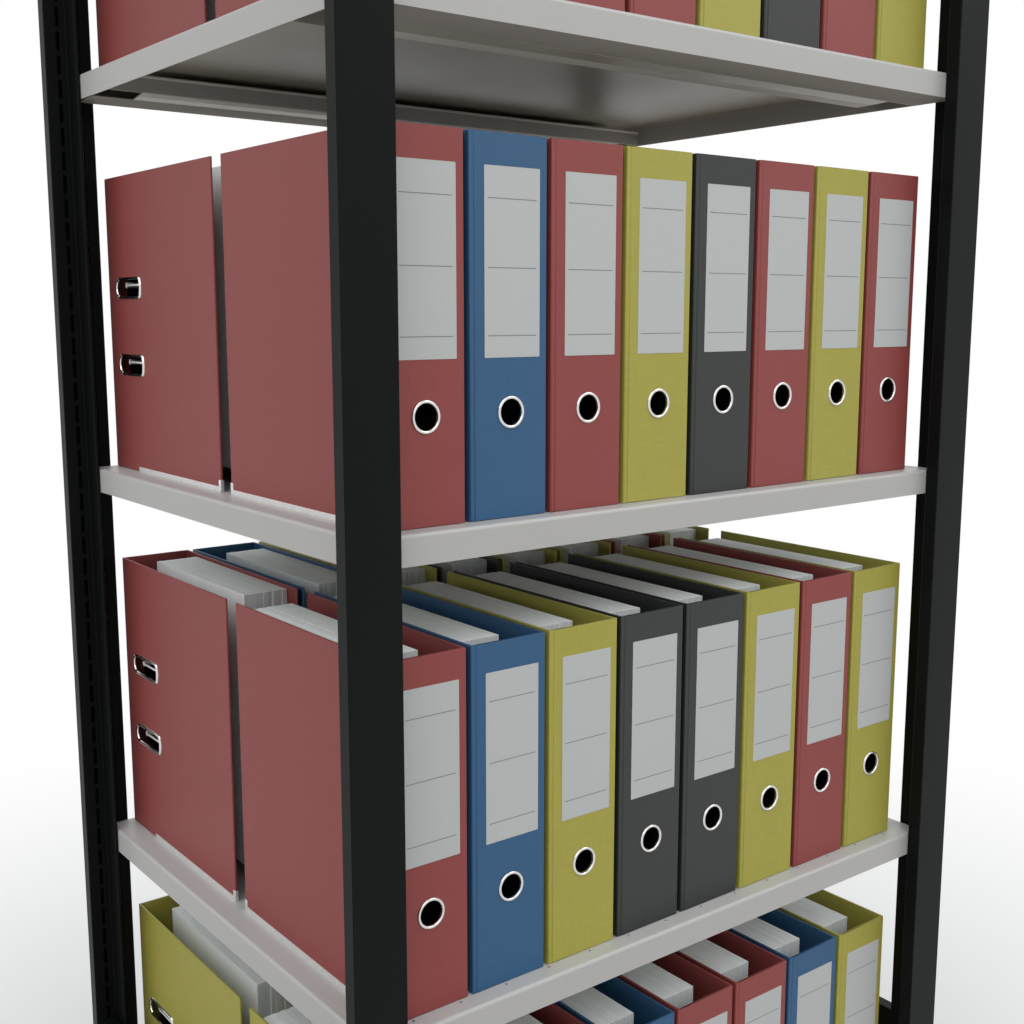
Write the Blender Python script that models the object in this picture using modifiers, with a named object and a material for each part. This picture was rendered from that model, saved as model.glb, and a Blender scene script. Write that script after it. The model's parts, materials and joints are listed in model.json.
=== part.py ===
"""Two-sided archive shelving unit loaded with lever-arch files, in metres, +Z up.

The origin is on the floor under the middle of the unit. X runs along the shelves,
Y from the front to the rear and Z up. Four T-section uprights carry five folded
shelves on blade clips, and the files of the eye-level front row pull out one by one.
"""
import math

import bmesh
import bpy
from mathutils import Matrix

for old in list(bpy.data.objects):
    bpy.data.objects.remove(old, do_unlink=True)

# Clearances and tool values
SEAT_GAP = 0.0003
SHELF_GAP = 0.0005
CUT_OVERSHOOT = 0.001
WELD_DISTANCE = 0.00001
ARC_STEPS = 2
FACING_DOWN = -0.5

# Lever-arch files: a folded board case round a block of paper
PAPER_THICKNESS = 0.0484
PAPER_HEIGHT = 0.297
PAPER_DEPTH = 0.225
PAPER_FROM_SPINE = 0.029
PAPER_LIFT = 0.0175
COVER_RISE = 0.0035
COVER_OVERHANG = 0.019
FILE_WIDTH = 0.081
FILE_SPACING = 0.0053
FILE_BOARD = 0.0025
FILE_SPINE_RADIUS = 0.004
FINGER_HOLE_DIAMETER = 0.022
FINGER_HOLE_HEIGHT = 0.090
FINGER_HOLE_SIDES = 16
ROW_HOLE_SIDES = 8
ROW_GROOVE_DEPTH = 0.011
ARCH_SLOT_FROM_SPINE = 0.013
ARCH_SLOT_LENGTH = 0.069
ARCH_SLOT_HEIGHT = 0.024
ARCH_SLOT_RADIUS = 0.009
ARCH_SLOT_LOWER = 0.116
ARCH_SPACING = 0.083

# Files on a shelf: a front row and a rear row, back to back
FILE_FRONT_SETBACK = 0.0194
FILE_REAR_SETBACK = 0.0085
FILE_POST_CLEARANCE = 0.0045
ROW_GAP = 0.0226
HAND_GAP = 0.075

# Shelves: folded trays with wide lips along both long sides
SHELF_LENGTH = 0.747
SHELF_HEIGHT = 0.026
SHELF_SHEET = 0.0012
SHELF_EDGE_RADIUS = 0.003
LIP_WIDTH = 0.101
LIP_RETURN = 0.0157
LIP_END_GAP = 0.004
LIP_CUT_FROM = 0.053
LIP_CUT_LENGTH = 0.047
LIP_CUT_SLANT = 0.008
LEVEL_COUNT = 5
LOWEST_SHELF_TOP = 0.100

# Shelf clips: upright steel blades hooked into the slots
CLIP_THICKNESS = 0.003
CLIP_HOOK_DEPTH = 0.0032
CLIP_HOOK_DROP = 0.005
CLIP_NECK_HEIGHT = 0.012
CLIP_BLADE_LENGTH = 0.032
CLIP_NOSE = 0.007
CLIP_LIP_CLEARANCE = 0.001
CLIP_NOTCH_CLEARANCE = 0.0008
CLIP_SIDE_CLEARANCE = 0.0006
CLIP_ENTRY_CLEARANCE = 0.003

# Uprights: a hollow head with a double web behind it, as a T
POST_WIDTH = 0.050
POST_HEAD_DEPTH = 0.015
POST_DEPTH = 0.043
POST_SHEET = 0.0015
POST_CORNER_RADIUS = 0.002
POST_RISE = 0.050
SLOT_INSET = 0.0144
SLOT_BRIDGE = 0.005
SLOTTED_FROM = 0.030
SLOTTED_END_MARGIN = 0.015

# Feet: caps under the uprights, with a plug inside the head
FOOT_THICKNESS = 0.006
FOOT_RIM = 0.002
FOOT_PLUG_HEIGHT = 0.014
FOOT_PLUG_CLEARANCE = 0.0005

# Side ties: folded channels that join the two uprights of each end
TIE_HEIGHT = 0.040
TIE_FLANGE = 0.016
TIE_SHEET = 0.0015
TIE_END_GAP = 0.001
LOWER_TIE_TOP = 0.280

# Sizes and places worked out from the values above
FILE_HEIGHT = PAPER_LIFT + PAPER_HEIGHT + COVER_RISE
FILE_DEPTH = PAPER_FROM_SPINE + PAPER_DEPTH + COVER_OVERHANG
FILE_PITCH = FILE_WIDTH + FILE_SPACING
FILE_HALF_INSIDE = FILE_WIDTH / 2 - FILE_BOARD
SLIDING_LEVEL = LEVEL_COUNT // 2
SHELF_DEPTH = 2 * FILE_DEPTH + ROW_GAP + FILE_FRONT_SETBACK + FILE_REAR_SETBACK
SLOT_WIDTH = CLIP_THICKNESS + 2 * CLIP_SIDE_CLEARANCE
SLOT_HEIGHT = CLIP_NECK_HEIGHT + CLIP_HOOK_DROP + CLIP_ENTRY_CLEARANCE
SLOT_PITCH = SLOT_HEIGHT + SLOT_BRIDGE
LEVEL_SLOTS = math.ceil((FILE_HEIGHT + HAND_GAP + SHELF_HEIGHT) / SLOT_PITCH)
LEVEL_TOPS = [LOWEST_SHELF_TOP + level * LEVEL_SLOTS * SLOT_PITCH for level in range(LEVEL_COUNT)]
WEB_THICKNESS = 2 * POST_SHEET
POST_X = SHELF_LENGTH / 2 + SHELF_GAP + WEB_THICKNESS / 2
POST_TOP = LEVEL_TOPS[-1] + POST_RISE
POST_FOOT = FOOT_THICKNESS + SEAT_GAP
POST_LENGTH = POST_TOP - POST_FOOT
HEAD_BACK_Y = SHELF_DEPTH / 2 + SHELF_GAP
HEAD_FRONT_Y = HEAD_BACK_Y + POST_HEAD_DEPTH
CLIP_X = POST_X - POST_WIDTH / 2 + SLOT_INSET
CLIP_BOTTOM = -SHELF_HEIGHT + SHELF_SHEET + CLIP_LIP_CLEARANCE
CLIP_TOP = -SHELF_SHEET - SEAT_GAP
SLOT_BOTTOM = CLIP_BOTTOM - SEAT_GAP
ROW_LEFT = -POST_X + POST_WIDTH / 2 + FILE_POST_CLEARANCE
FILE_COUNT = math.floor((-2 * ROW_LEFT + FILE_SPACING) / FILE_PITCH)
ROW_LENGTH = FILE_COUNT * FILE_PITCH - FILE_SPACING
FRONT_SPINE_Y = -SHELF_DEPTH / 2 + FILE_FRONT_SETBACK
REAR_SPINE_Y = SHELF_DEPTH / 2 - FILE_REAR_SETBACK
HALF_TURN = Matrix.Rotation(math.pi, 4, "Z")
LENGTH_ALONG_X = Matrix(((0, 0, 1, 0), (1, 0, 0, 0), (0, 1, 0, 0), (0, 0, 0, 1)))


def new_collection(name):
    """A collection under the scene's own."""
    collection = bpy.data.collections.new(name)
    bpy.context.scene.collection.children.link(collection)
    return collection


PARTS = new_collection("archive_shelving_unit")
CUTTERS = new_collection("cutters")


def finish(name, colour, roughness, metallic=0.0):
    """A Principled material with one colour."""
    material = bpy.data.materials.new(name)
    material.use_nodes = True
    shader = material.node_tree.nodes["Principled BSDF"]
    shader.inputs["Base Color"].default_value = (*colour, 1.0)
    shader.inputs["Roughness"].default_value = roughness
    shader.inputs["Metallic"].default_value = metallic
    material.diffuse_color = (*colour, 1.0)
    return material


BLACK_PAINT = finish("black_paint", (0.012, 0.013, 0.013), 0.45)
GREY_PAINT = finish("grey_paint", (0.50, 0.50, 0.49), 0.40)
ZINC_STEEL = finish("zinc_steel", (0.55, 0.56, 0.57), 0.35, 1.0)
BLACK_PLASTIC = finish("black_plastic", (0.02, 0.02, 0.02), 0.60)
PAPER_WHITE = finish("paper_white", (0.70, 0.72, 0.73), 0.90)
FILE_RED = finish("file_red", (0.27, 0.075, 0.078), 0.65)
FILE_BLUE = finish("file_blue", (0.06, 0.13, 0.22), 0.65)
FILE_YELLOW = finish("file_yellow", (0.36, 0.34, 0.075), 0.65)
FILE_GREY = finish("file_grey", (0.06, 0.065, 0.066), 0.65)
SLIDING_COLOURS = (FILE_RED, FILE_BLUE, FILE_RED, FILE_YELLOW,
                   FILE_GREY, FILE_RED, FILE_YELLOW, FILE_RED)


def evaluated_mesh(source):
    """The mesh that an object's own modifiers give; the object is removed."""
    depsgraph = bpy.context.evaluated_depsgraph_get()
    mesh = bpy.data.meshes.new_from_object(source.evaluated_get(depsgraph))
    bpy.data.objects.remove(source, do_unlink=True)
    return mesh


def welded(mesh):
    """Close the seams of a mesh and turn its faces outwards."""
    work = bmesh.new()
    work.from_mesh(mesh)
    bmesh.ops.remove_doubles(work, verts=work.verts, dist=WELD_DISTANCE)
    bmesh.ops.recalc_face_normals(work, faces=work.faces)
    work.to_mesh(mesh)
    work.free()
    return mesh


def tool_object(name, data, matrix=Matrix()):
    """A guide or cutter, which is no part of the unit."""
    guide = bpy.data.objects.new(name, data)
    guide.matrix_world = matrix
    guide.hide_render = True
    guide.display_type = "WIRE"
    CUTTERS.objects.link(guide)
    return guide


def rounded_outline(corners):
    """Points of a closed outline from corners (x, y, radius), with arcs at the round ones."""
    points = []
    for index, (x, y, radius) in enumerate(corners):
        if radius == 0:
            points.append((x, y))
            continue
        before = corners[index - 1]
        after = corners[(index + 1) % len(corners)]
        start = math.atan2(before[1] - y, before[0] - x)
        end = math.atan2(after[1] - y, after[0] - x)
        opening = (end - start + math.pi) % (2 * math.pi) - math.pi
        reach = radius / math.tan(abs(opening) / 2)
        middle = start + opening / 2
        centre_distance = radius / math.sin(abs(opening) / 2)
        centre = (x + centre_distance * math.cos(middle), y + centre_distance * math.sin(middle))
        first = (x + reach * math.cos(start), y + reach * math.sin(start))
        angle = math.atan2(first[1] - centre[1], first[0] - centre[0])
        sweep = math.copysign(math.pi - abs(opening), -opening)
        for step in range(ARC_STEPS + 1):
            turn = angle + sweep * step / ARC_STEPS
            points.append((centre[0] + radius * math.cos(turn), centre[1] + radius * math.sin(turn)))
    return points


def extruded(outlines, length):
    """A solid over flat outlines in XY, from Z = 0 up to the given length."""
    curve = bpy.data.curves.new("outline", "CURVE")
    curve.dimensions = "2D"
    curve.fill_mode = "BOTH"
    curve.extrude = length / 2
    for outline in outlines:
        spline = curve.splines.new("POLY")
        spline.points.add(len(outline) - 1)
        spline.use_cyclic_u = True
        for point, (x, y) in zip(spline.points, outline):
            point.co = (x, y, 0, 1)
    mesh = welded(evaluated_mesh(tool_object("outline", curve)))
    mesh.transform(Matrix.Translation((0, 0, length / 2)))
    return mesh


def box(low, high):
    """A box between two corners, from a unit cube."""
    work = bmesh.new()
    bmesh.ops.create_cube(work, size=1)
    size = [top - bottom for bottom, top in zip(low, high)]
    centre = [(top + bottom) / 2 for bottom, top in zip(low, high)]
    place = Matrix.Translation(centre) @ Matrix.Diagonal((*size, 1))
    bmesh.ops.transform(work, matrix=place, verts=work.verts)
    mesh = bpy.data.meshes.new("box")
    work.to_mesh(mesh)
    work.free()
    return mesh


def cylinder_along_y(x, z, diameter, low_y, high_y, sides):
    """A cylinder whose axis runs along Y."""
    work = bmesh.new()
    bmesh.ops.create_cone(work, cap_ends=True, segments=sides, radius1=diameter / 2,
                          radius2=diameter / 2, depth=high_y - low_y)
    place = Matrix.Translation((x, (low_y + high_y) / 2, z)) @ Matrix.Rotation(math.pi / 2, 4, "X")
    bmesh.ops.transform(work, matrix=place, verts=work.verts)
    mesh = bpy.data.meshes.new("cylinder")
    work.to_mesh(mesh)
    work.free()
    return mesh


def combined(mesh, tools, operation):
    """A mesh after one Boolean for each tool; a tool is (mesh, copies, step along X, step along Z)."""
    body = tool_object("body", mesh)
    guides = []
    for tool_mesh, copies, step_x, step_z in tools:
        guide = tool_object("tool", tool_mesh)
        if copies > 1:
            array = guide.modifiers.new("repeat", "ARRAY")
            array.count = copies
            array.use_relative_offset = False
            array.use_constant_offset = True
            array.constant_offset_displace = (step_x, 0, step_z)
        boolean = body.modifiers.new("boolean", "BOOLEAN")
        boolean.operation = operation
        boolean.object = guide
        guides.append(guide)
    result = evaluated_mesh(body)
    for guide in guides:
        bpy.data.objects.remove(guide, do_unlink=True)
    return welded(result)


def add_part(name, mesh, material, matrix=Matrix(), parent=None):
    """One named piece of the unit."""
    part = bpy.data.objects.new(name, mesh)
    PARTS.objects.link(part)
    if parent is not None:
        part.parent = parent
    part.matrix_local = matrix
    if not mesh.materials:
        mesh.materials.append(material)
    part.material_slots[0].link = "OBJECT"
    part.material_slots[0].material = material
    return part


# Uprights

def post_outline(rim=0.0):
    """The T of an upright: its head's front face on Y = 0 and its web towards +Y."""
    half = POST_WIDTH / 2 + rim
    web = WEB_THICKNESS / 2 + rim
    radius = POST_CORNER_RADIUS + rim
    return rounded_outline([
        (-half, -rim, radius), (half, -rim, radius), (half, POST_HEAD_DEPTH + rim, radius),
        (web, POST_HEAD_DEPTH + rim, 0), (web, POST_DEPTH + rim, 0), (-web, POST_DEPTH + rim, 0),
        (-web, POST_HEAD_DEPTH + rim, 0), (-half, POST_HEAD_DEPTH + rim, radius)])


def head_hollow():
    """The space inside the folded head."""
    half = POST_WIDTH / 2 - POST_SHEET
    back = POST_HEAD_DEPTH - POST_SHEET
    return [(-half, POST_SHEET), (half, POST_SHEET), (half, back), (-half, back)]


def slot_rows():
    """Height of the lowest slot's lower edge above the upright's own end, and the slots' count."""
    anchor = LEVEL_TOPS[0] + SLOT_BOTTOM - POST_FOOT
    first = anchor - math.floor((anchor - SLOTTED_FROM) / SLOT_PITCH) * SLOT_PITCH
    last = POST_LENGTH - SLOTTED_END_MARGIN - SLOT_HEIGHT
    return first, math.floor((last - first) / SLOT_PITCH) + 1


def upright_mesh(shelf_side):
    """An upright with its slots in the half of the head's back that faces the shelves."""
    first, count = slot_rows()
    centre = shelf_side * (POST_WIDTH / 2 - SLOT_INSET)
    slot = box((centre - SLOT_WIDTH / 2, POST_HEAD_DEPTH - POST_SHEET - CUT_OVERSHOOT, first),
               (centre + SLOT_WIDTH / 2, POST_HEAD_DEPTH + CUT_OVERSHOOT, first + SLOT_HEIGHT))
    section = extruded([post_outline(), head_hollow()], POST_LENGTH)
    return combined(section, [(slot, count, 0, SLOT_PITCH)], "DIFFERENCE")


def foot_mesh():
    """A foot cap with the upright's outline and a plug that locates its hollow head."""
    cap = extruded([post_outline(FOOT_RIM)], FOOT_THICKNESS)
    half = POST_WIDTH / 2 - POST_SHEET - FOOT_PLUG_CLEARANCE
    front = POST_SHEET + FOOT_PLUG_CLEARANCE
    back = POST_HEAD_DEPTH - POST_SHEET - FOOT_PLUG_CLEARANCE
    plug = box((-half, front, FOOT_THICKNESS / 2), (half, back, FOOT_THICKNESS + FOOT_PLUG_HEIGHT))
    return combined(cap, [(plug, 1, 0, 0)], "UNION")


def corner_matrix(side_x, side_y, height):
    """Place of a corner piece whose own +Y points to the middle of the unit."""
    place = Matrix.Translation((side_x * POST_X, side_y * HEAD_FRONT_Y, height))
    return place if side_y < 0 else place @ HALF_TURN


CORNERS = {"front_left": (-1, -1), "front_right": (1, -1), "rear_left": (-1, 1), "rear_right": (1, 1)}
UPRIGHTS = {side: upright_mesh(side) for side in (-1, 1)}
FOOT = foot_mesh()
for corner, (side_x, side_y) in CORNERS.items():
    add_part("upright_" + corner, UPRIGHTS[side_x * side_y], BLACK_PAINT,
             corner_matrix(side_x, side_y, POST_FOOT))
    add_part("foot_" + corner, FOOT, BLACK_PLASTIC, corner_matrix(side_x, side_y, 0))


# Side ties

def tie_mesh():
    """A channel along Y, its flat back on X = 0 and its flanges towards +X."""
    inner = TIE_HEIGHT - TIE_SHEET
    section = [(0, 0), (TIE_FLANGE, 0), (TIE_FLANGE, TIE_SHEET), (TIE_SHEET, TIE_SHEET),
               (TIE_SHEET, inner), (TIE_FLANGE, inner), (TIE_FLANGE, TIE_HEIGHT), (0, TIE_HEIGHT)]
    length = 2 * (HEAD_BACK_Y - TIE_END_GAP)
    mesh = extruded([section], length)
    mesh.transform(Matrix.Translation((0, length / 2, 0)) @ Matrix.Rotation(math.pi / 2, 4, "X"))
    return mesh


TIE = tie_mesh()
TIE_X = POST_X + WEB_THICKNESS / 2 + SEAT_GAP
TIE_BOTTOMS = {"lower": LOWER_TIE_TOP - TIE_HEIGHT, "upper": POST_TOP - LOWER_TIE_TOP}
for height_name, bottom in TIE_BOTTOMS.items():
    add_part("side_tie_right_" + height_name, TIE, BLACK_PAINT, Matrix.Translation((TIE_X, 0, bottom)))
    add_part("side_tie_left_" + height_name, TIE, BLACK_PAINT,
             Matrix.Translation((-TIE_X, 0, bottom)) @ HALF_TURN)


# Shelves and their clips

def tray_mesh():
    """The folded deck with its four faces, open below, its top on Z = 0."""
    tray = tool_object("tray", box((-SHELF_LENGTH / 2, -SHELF_DEPTH / 2, -SHELF_HEIGHT),
                                   (SHELF_LENGTH / 2, SHELF_DEPTH / 2, 0)))
    work = bmesh.new()
    work.from_mesh(tray.data)
    bottom = [face for face in work.faces if face.normal.z < FACING_DOWN]
    bmesh.ops.delete(work, geom=bottom, context="FACES_ONLY")
    work.to_mesh(tray.data)
    work.free()
    bevel = tray.modifiers.new("round_edges", "BEVEL")
    bevel.width = SHELF_EDGE_RADIUS
    bevel.segments = ARC_STEPS
    shell = tray.modifiers.new("sheet", "SOLIDIFY")
    shell.thickness = SHELF_SHEET
    shell.offset = -1
    shell.use_even_offset = True
    return evaluated_mesh(tray)


def lip_mesh():
    """The front lip and its upturned return, as one folded strip under the deck."""
    overlap = SHELF_SHEET / 2
    inner = LIP_WIDTH - SHELF_SHEET
    section = [(overlap, 0), (LIP_WIDTH, 0), (LIP_WIDTH, LIP_RETURN), (inner, LIP_RETURN),
               (inner, SHELF_SHEET), (overlap, SHELF_SHEET)]
    length = SHELF_LENGTH - 2 * LIP_END_GAP
    mesh = extruded([section], length)
    mesh.transform(Matrix.Translation((-length / 2, -SHELF_DEPTH / 2, -SHELF_HEIGHT)) @ LENGTH_ALONG_X)
    return mesh


def lip_cut_mesh():
    """The slanted end cut of the front lip, at its left end."""
    end = -SHELF_LENGTH / 2 + SHELF_SHEET + CUT_OVERSHOOT
    outer = -SHELF_DEPTH / 2 + LIP_CUT_FROM
    inner = -SHELF_DEPTH / 2 + LIP_WIDTH - 2 * SHELF_SHEET
    outline = [(end, outer), (-SHELF_LENGTH / 2 + LIP_CUT_LENGTH, outer),
               (-SHELF_LENGTH / 2 + LIP_CUT_LENGTH - LIP_CUT_SLANT, inner), (end, inner)]
    mesh = extruded([outline], SHELF_SHEET + 2 * CUT_OVERSHOOT)
    mesh.transform(Matrix.Translation((0, 0, -SHELF_HEIGHT - CUT_OVERSHOOT)))
    return mesh


def clip_notch_mesh():
    """The notch at the front left that lets a shelf drop over its clip."""
    half = CLIP_THICKNESS / 2 + CLIP_NOTCH_CLEARANCE
    face = -SHELF_DEPTH / 2
    reach = SHELF_GAP + SHELF_SHEET + CLIP_BLADE_LENGTH
    return box((-CLIP_X - half, face - CUT_OVERSHOOT, -SHELF_HEIGHT - CUT_OVERSHOOT),
               (-CLIP_X + half, face + reach, CLIP_BOTTOM + CLIP_NECK_HEIGHT + SEAT_GAP))


def mirrored(mesh, side_x, side_y):
    """A copy of a mesh on another corner, with its faces turned outwards again."""
    copy = mesh.copy()
    copy.transform(Matrix.Diagonal((side_x, side_y, 1, 1)))
    return welded(copy)


def shelf_mesh():
    """A whole shelf: tray, two lips, the lips' end cuts and the clip notches."""
    lip = lip_mesh()
    lips = [(mirrored(lip, 1, side_y), 1, 0, 0) for side_y in (1, -1)]
    folded = combined(tray_mesh(), lips, "UNION")
    cuts = []
    for cut in (lip_cut_mesh(), clip_notch_mesh()):
        for side_x in (1, -1):
            for side_y in (1, -1):
                cuts.append((mirrored(cut, side_x, side_y), 1, 0, 0))
    return combined(folded, cuts, "DIFFERENCE")


def clip_mesh():
    """A blade clip: its outline in depth and height, its head's back face on 0."""
    neck_top = CLIP_BOTTOM + CLIP_NECK_HEIGHT
    hook_front = -POST_SHEET - SEAT_GAP
    hook_back = hook_front - CLIP_HOOK_DEPTH
    blade_from = SHELF_GAP + SHELF_SHEET + SEAT_GAP
    blade_to = blade_from + CLIP_BLADE_LENGTH - 2 * SEAT_GAP
    hook_bottom = CLIP_BOTTOM - CLIP_HOOK_DROP
    outline = [(hook_back, hook_bottom), (hook_front, hook_bottom), (hook_front, CLIP_BOTTOM),
               (blade_to - CLIP_NOSE, CLIP_BOTTOM), (blade_to, CLIP_BOTTOM + CLIP_NOSE),
               (blade_to, CLIP_TOP), (blade_from + SHELF_EDGE_RADIUS, CLIP_TOP),
               (blade_from, CLIP_TOP - SHELF_EDGE_RADIUS), (blade_from, neck_top), (hook_back, neck_top)]
    mesh = extruded([outline], CLIP_THICKNESS)
    mesh.transform(Matrix.Translation((-CLIP_THICKNESS / 2, 0, 0)) @ LENGTH_ALONG_X)
    return mesh


SHELF = shelf_mesh()
CLIP = clip_mesh()
for level, top in enumerate(LEVEL_TOPS, start=1):
    add_part("shelf_level_%d" % level, SHELF, GREY_PAINT, Matrix.Translation((0, 0, top)))
    for corner, (side_x, side_y) in CORNERS.items():
        place = Matrix.Translation((side_x * CLIP_X, side_y * HEAD_BACK_Y, top))
        if side_y > 0:
            place = place @ HALF_TURN
        add_part("clip_level_%d_%s" % (level, corner), CLIP, ZINC_STEEL, place)


# Lever-arch files

def case_outline():
    """Plan of one case: spine on Y = 0, its two covers towards +Y."""
    spine = FILE_WIDTH / 2
    inside = FILE_HALF_INSIDE
    return rounded_outline([
        (-spine, 0, FILE_SPINE_RADIUS), (spine, 0, FILE_SPINE_RADIUS), (spine, FILE_DEPTH, 0),
        (inside, FILE_DEPTH, 0), (inside, FILE_BOARD, 0), (-inside, FILE_BOARD, 0),
        (-inside, FILE_DEPTH, 0), (-spine, FILE_DEPTH, 0)])


def finger_hole(x, sides):
    """The cutter of a finger hole through a spine."""
    return cylinder_along_y(x, FINGER_HOLE_HEIGHT, FINGER_HOLE_DIAMETER, -CUT_OVERSHOOT,
                            FILE_BOARD + CUT_OVERSHOOT, sides)


def paper_box(cover_inside, sunk):
    """A paper block beside a cover's inner face, sunk into it where they are joined."""
    low = (cover_inside - sunk, PAPER_FROM_SPINE, PAPER_LIFT)
    high = (cover_inside + PAPER_THICKNESS, PAPER_FROM_SPINE + PAPER_DEPTH, PAPER_LIFT + PAPER_HEIGHT)
    return box(low, high)


def row_outline():
    """Plan of a full row: cases side by side, their neighbouring covers joined."""
    gap = FILE_PITCH - FILE_WIDTH
    corner = FILE_SPINE_RADIUS
    points = [(0, corner), (corner, 0)]
    for index in range(1, FILE_COUNT):
        left = index * FILE_PITCH
        points += [(left - gap - corner, 0), (left - gap, corner), (left - gap / 2, ROW_GROOVE_DEPTH),
                   (left, corner), (left + corner, 0)]
    points += [(ROW_LENGTH - corner, 0), (ROW_LENGTH, corner), (ROW_LENGTH, FILE_DEPTH)]
    for index in reversed(range(FILE_COUNT)):
        middle = index * FILE_PITCH + FILE_WIDTH / 2
        right = middle + FILE_HALF_INSIDE
        left = middle - FILE_HALF_INSIDE
        points += [(right, FILE_DEPTH), (right, FILE_BOARD), (left, FILE_BOARD), (left, FILE_DEPTH)]
    return points + [(0, FILE_DEPTH)]


def row_mesh():
    """A whole row as one solid: cases, paper blocks and finger holes."""
    middle = FILE_WIDTH / 2
    paper = paper_box(middle - FILE_HALF_INSIDE, FILE_BOARD / 2)
    cases = extruded([row_outline()], FILE_HEIGHT)
    filled = combined(cases, [(paper, FILE_COUNT, FILE_PITCH, 0)], "UNION")
    hole = finger_hole(middle, ROW_HOLE_SIDES)
    return combined(filled, [(hole, FILE_COUNT, FILE_PITCH, 0)], "DIFFERENCE")


def arch_slot():
    """The cutter of the lower slot in the right cover, round at its spine end, for the arch's lower ring."""
    near = ARCH_SLOT_FROM_SPINE
    far = near + ARCH_SLOT_LENGTH
    low = ARCH_SLOT_LOWER - ARCH_SLOT_HEIGHT / 2
    high = low + ARCH_SLOT_HEIGHT
    outline = rounded_outline([(near, low, ARCH_SLOT_RADIUS), (far, low, 0), (far, high, 0),
                               (near, high, ARCH_SLOT_RADIUS)])
    mesh = extruded([outline], FILE_BOARD + 2 * CUT_OVERSHOOT)
    mesh.transform(Matrix.Translation((FILE_HALF_INSIDE - CUT_OVERSHOOT, 0, 0)) @ LENGTH_ALONG_X)
    return mesh


def case_mesh():
    """One case with its finger hole and the two slots for its lever arch."""
    hole = (finger_hole(0, FINGER_HOLE_SIDES), 1, 0, 0)
    slots = (arch_slot(), 2, 0, ARCH_SPACING)
    return combined(extruded([case_outline()], FILE_HEIGHT), [hole, slots], "DIFFERENCE")


def row_matrix(side, top):
    """Place of a front or a rear row on a shelf; a rear row is turned round."""
    if side == "front":
        return Matrix.Translation((ROW_LEFT, FRONT_SPINE_Y, top + SEAT_GAP))
    return Matrix.Translation((ROW_LEFT + ROW_LENGTH, REAR_SPINE_Y, top + SEAT_GAP)) @ HALF_TURN


ROW = row_mesh()
CASE = case_mesh()
PAPER = paper_box(-FILE_HALF_INSIDE + SEAT_GAP, 0)
for level, top in enumerate(LEVEL_TOPS[:-1]):
    for side in ("front", "rear"):
        if (level, side) != (SLIDING_LEVEL, "front"):
            add_part("file_row_level_%d_%s" % (level + 1, side), ROW, FILE_RED, row_matrix(side, top))

for index in range(FILE_COUNT):
    slide = bpy.data.objects.new("file_%d" % (index + 1), None)
    PARTS.objects.link(slide)
    middle = ROW_LEFT + index * FILE_PITCH + FILE_WIDTH / 2
    slide.location = (middle, FRONT_SPINE_Y, LEVEL_TOPS[SLIDING_LEVEL] + SEAT_GAP)
    colour = SLIDING_COLOURS[index % len(SLIDING_COLOURS)]
    add_part("file_case_%d" % (index + 1), CASE, colour, parent=slide)
    add_part("file_paper_%d" % (index + 1), PAPER, PAPER_WHITE, parent=slide)
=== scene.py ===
# %% [markdown]
# # A bay of archive shelving, loaded with lever-arch files
# The real bay stands in a records room: four black slotted uprights carry grey folded shelves, and
# each shelf carries two rows of files, back to back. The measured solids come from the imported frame.
# This lesson gives them their finish, and it replaces the ones whose folds, slots and board edges
# need a finer mesh than the solids have. All sizes are in metres, and +Z is up.

# %% The frame
import json
import math

import bmesh
import bpy
from mathutils import Matrix, Vector

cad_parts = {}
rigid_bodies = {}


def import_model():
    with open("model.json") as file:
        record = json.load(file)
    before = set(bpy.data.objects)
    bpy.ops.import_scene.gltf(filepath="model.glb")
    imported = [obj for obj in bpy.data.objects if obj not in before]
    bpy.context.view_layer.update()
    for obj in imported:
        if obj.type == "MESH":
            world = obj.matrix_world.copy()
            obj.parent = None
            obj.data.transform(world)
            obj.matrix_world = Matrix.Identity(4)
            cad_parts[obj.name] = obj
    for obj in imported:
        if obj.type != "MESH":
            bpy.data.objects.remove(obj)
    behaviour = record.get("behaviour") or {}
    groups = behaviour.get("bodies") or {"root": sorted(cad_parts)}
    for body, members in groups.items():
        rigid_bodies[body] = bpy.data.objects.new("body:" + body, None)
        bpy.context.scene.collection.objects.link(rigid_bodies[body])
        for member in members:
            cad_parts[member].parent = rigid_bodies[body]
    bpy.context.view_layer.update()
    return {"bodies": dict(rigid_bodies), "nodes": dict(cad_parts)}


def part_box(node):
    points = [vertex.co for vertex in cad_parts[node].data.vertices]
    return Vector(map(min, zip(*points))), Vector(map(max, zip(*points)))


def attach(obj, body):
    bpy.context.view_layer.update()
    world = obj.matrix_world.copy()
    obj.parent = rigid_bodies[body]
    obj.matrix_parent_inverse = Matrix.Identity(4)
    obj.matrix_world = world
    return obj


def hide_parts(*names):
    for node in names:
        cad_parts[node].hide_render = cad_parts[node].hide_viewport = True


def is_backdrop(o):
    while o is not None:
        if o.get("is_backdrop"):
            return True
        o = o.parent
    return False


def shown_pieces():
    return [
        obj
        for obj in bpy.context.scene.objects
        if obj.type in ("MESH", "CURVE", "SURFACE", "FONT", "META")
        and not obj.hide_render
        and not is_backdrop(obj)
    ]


for leftover in list(bpy.data.objects):
    bpy.data.objects.remove(leftover, do_unlink=True)
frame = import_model()
scene = bpy.context.scene
UNIT = "unit"
CORNERS = ("front_left", "front_right", "rear_left", "rear_right")
SHELF_NODES = sorted(name for name in frame["nodes"] if name.startswith("shelf_level_"))
ROW_NODES = sorted(name for name in frame["nodes"] if name.startswith("file_row_"))
SLIDING_BODIES = sorted(name for name in frame["bodies"] if name != UNIT)

# %% [markdown]
# ## The camera
# A photograph's camera can be placed by eye, or solved from points whose real places are known.
# Here it was solved: the shelves are level, the uprights are plumb and the files have a known
# height, so these few numbers put most edges within about a pixel of the photograph.

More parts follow.
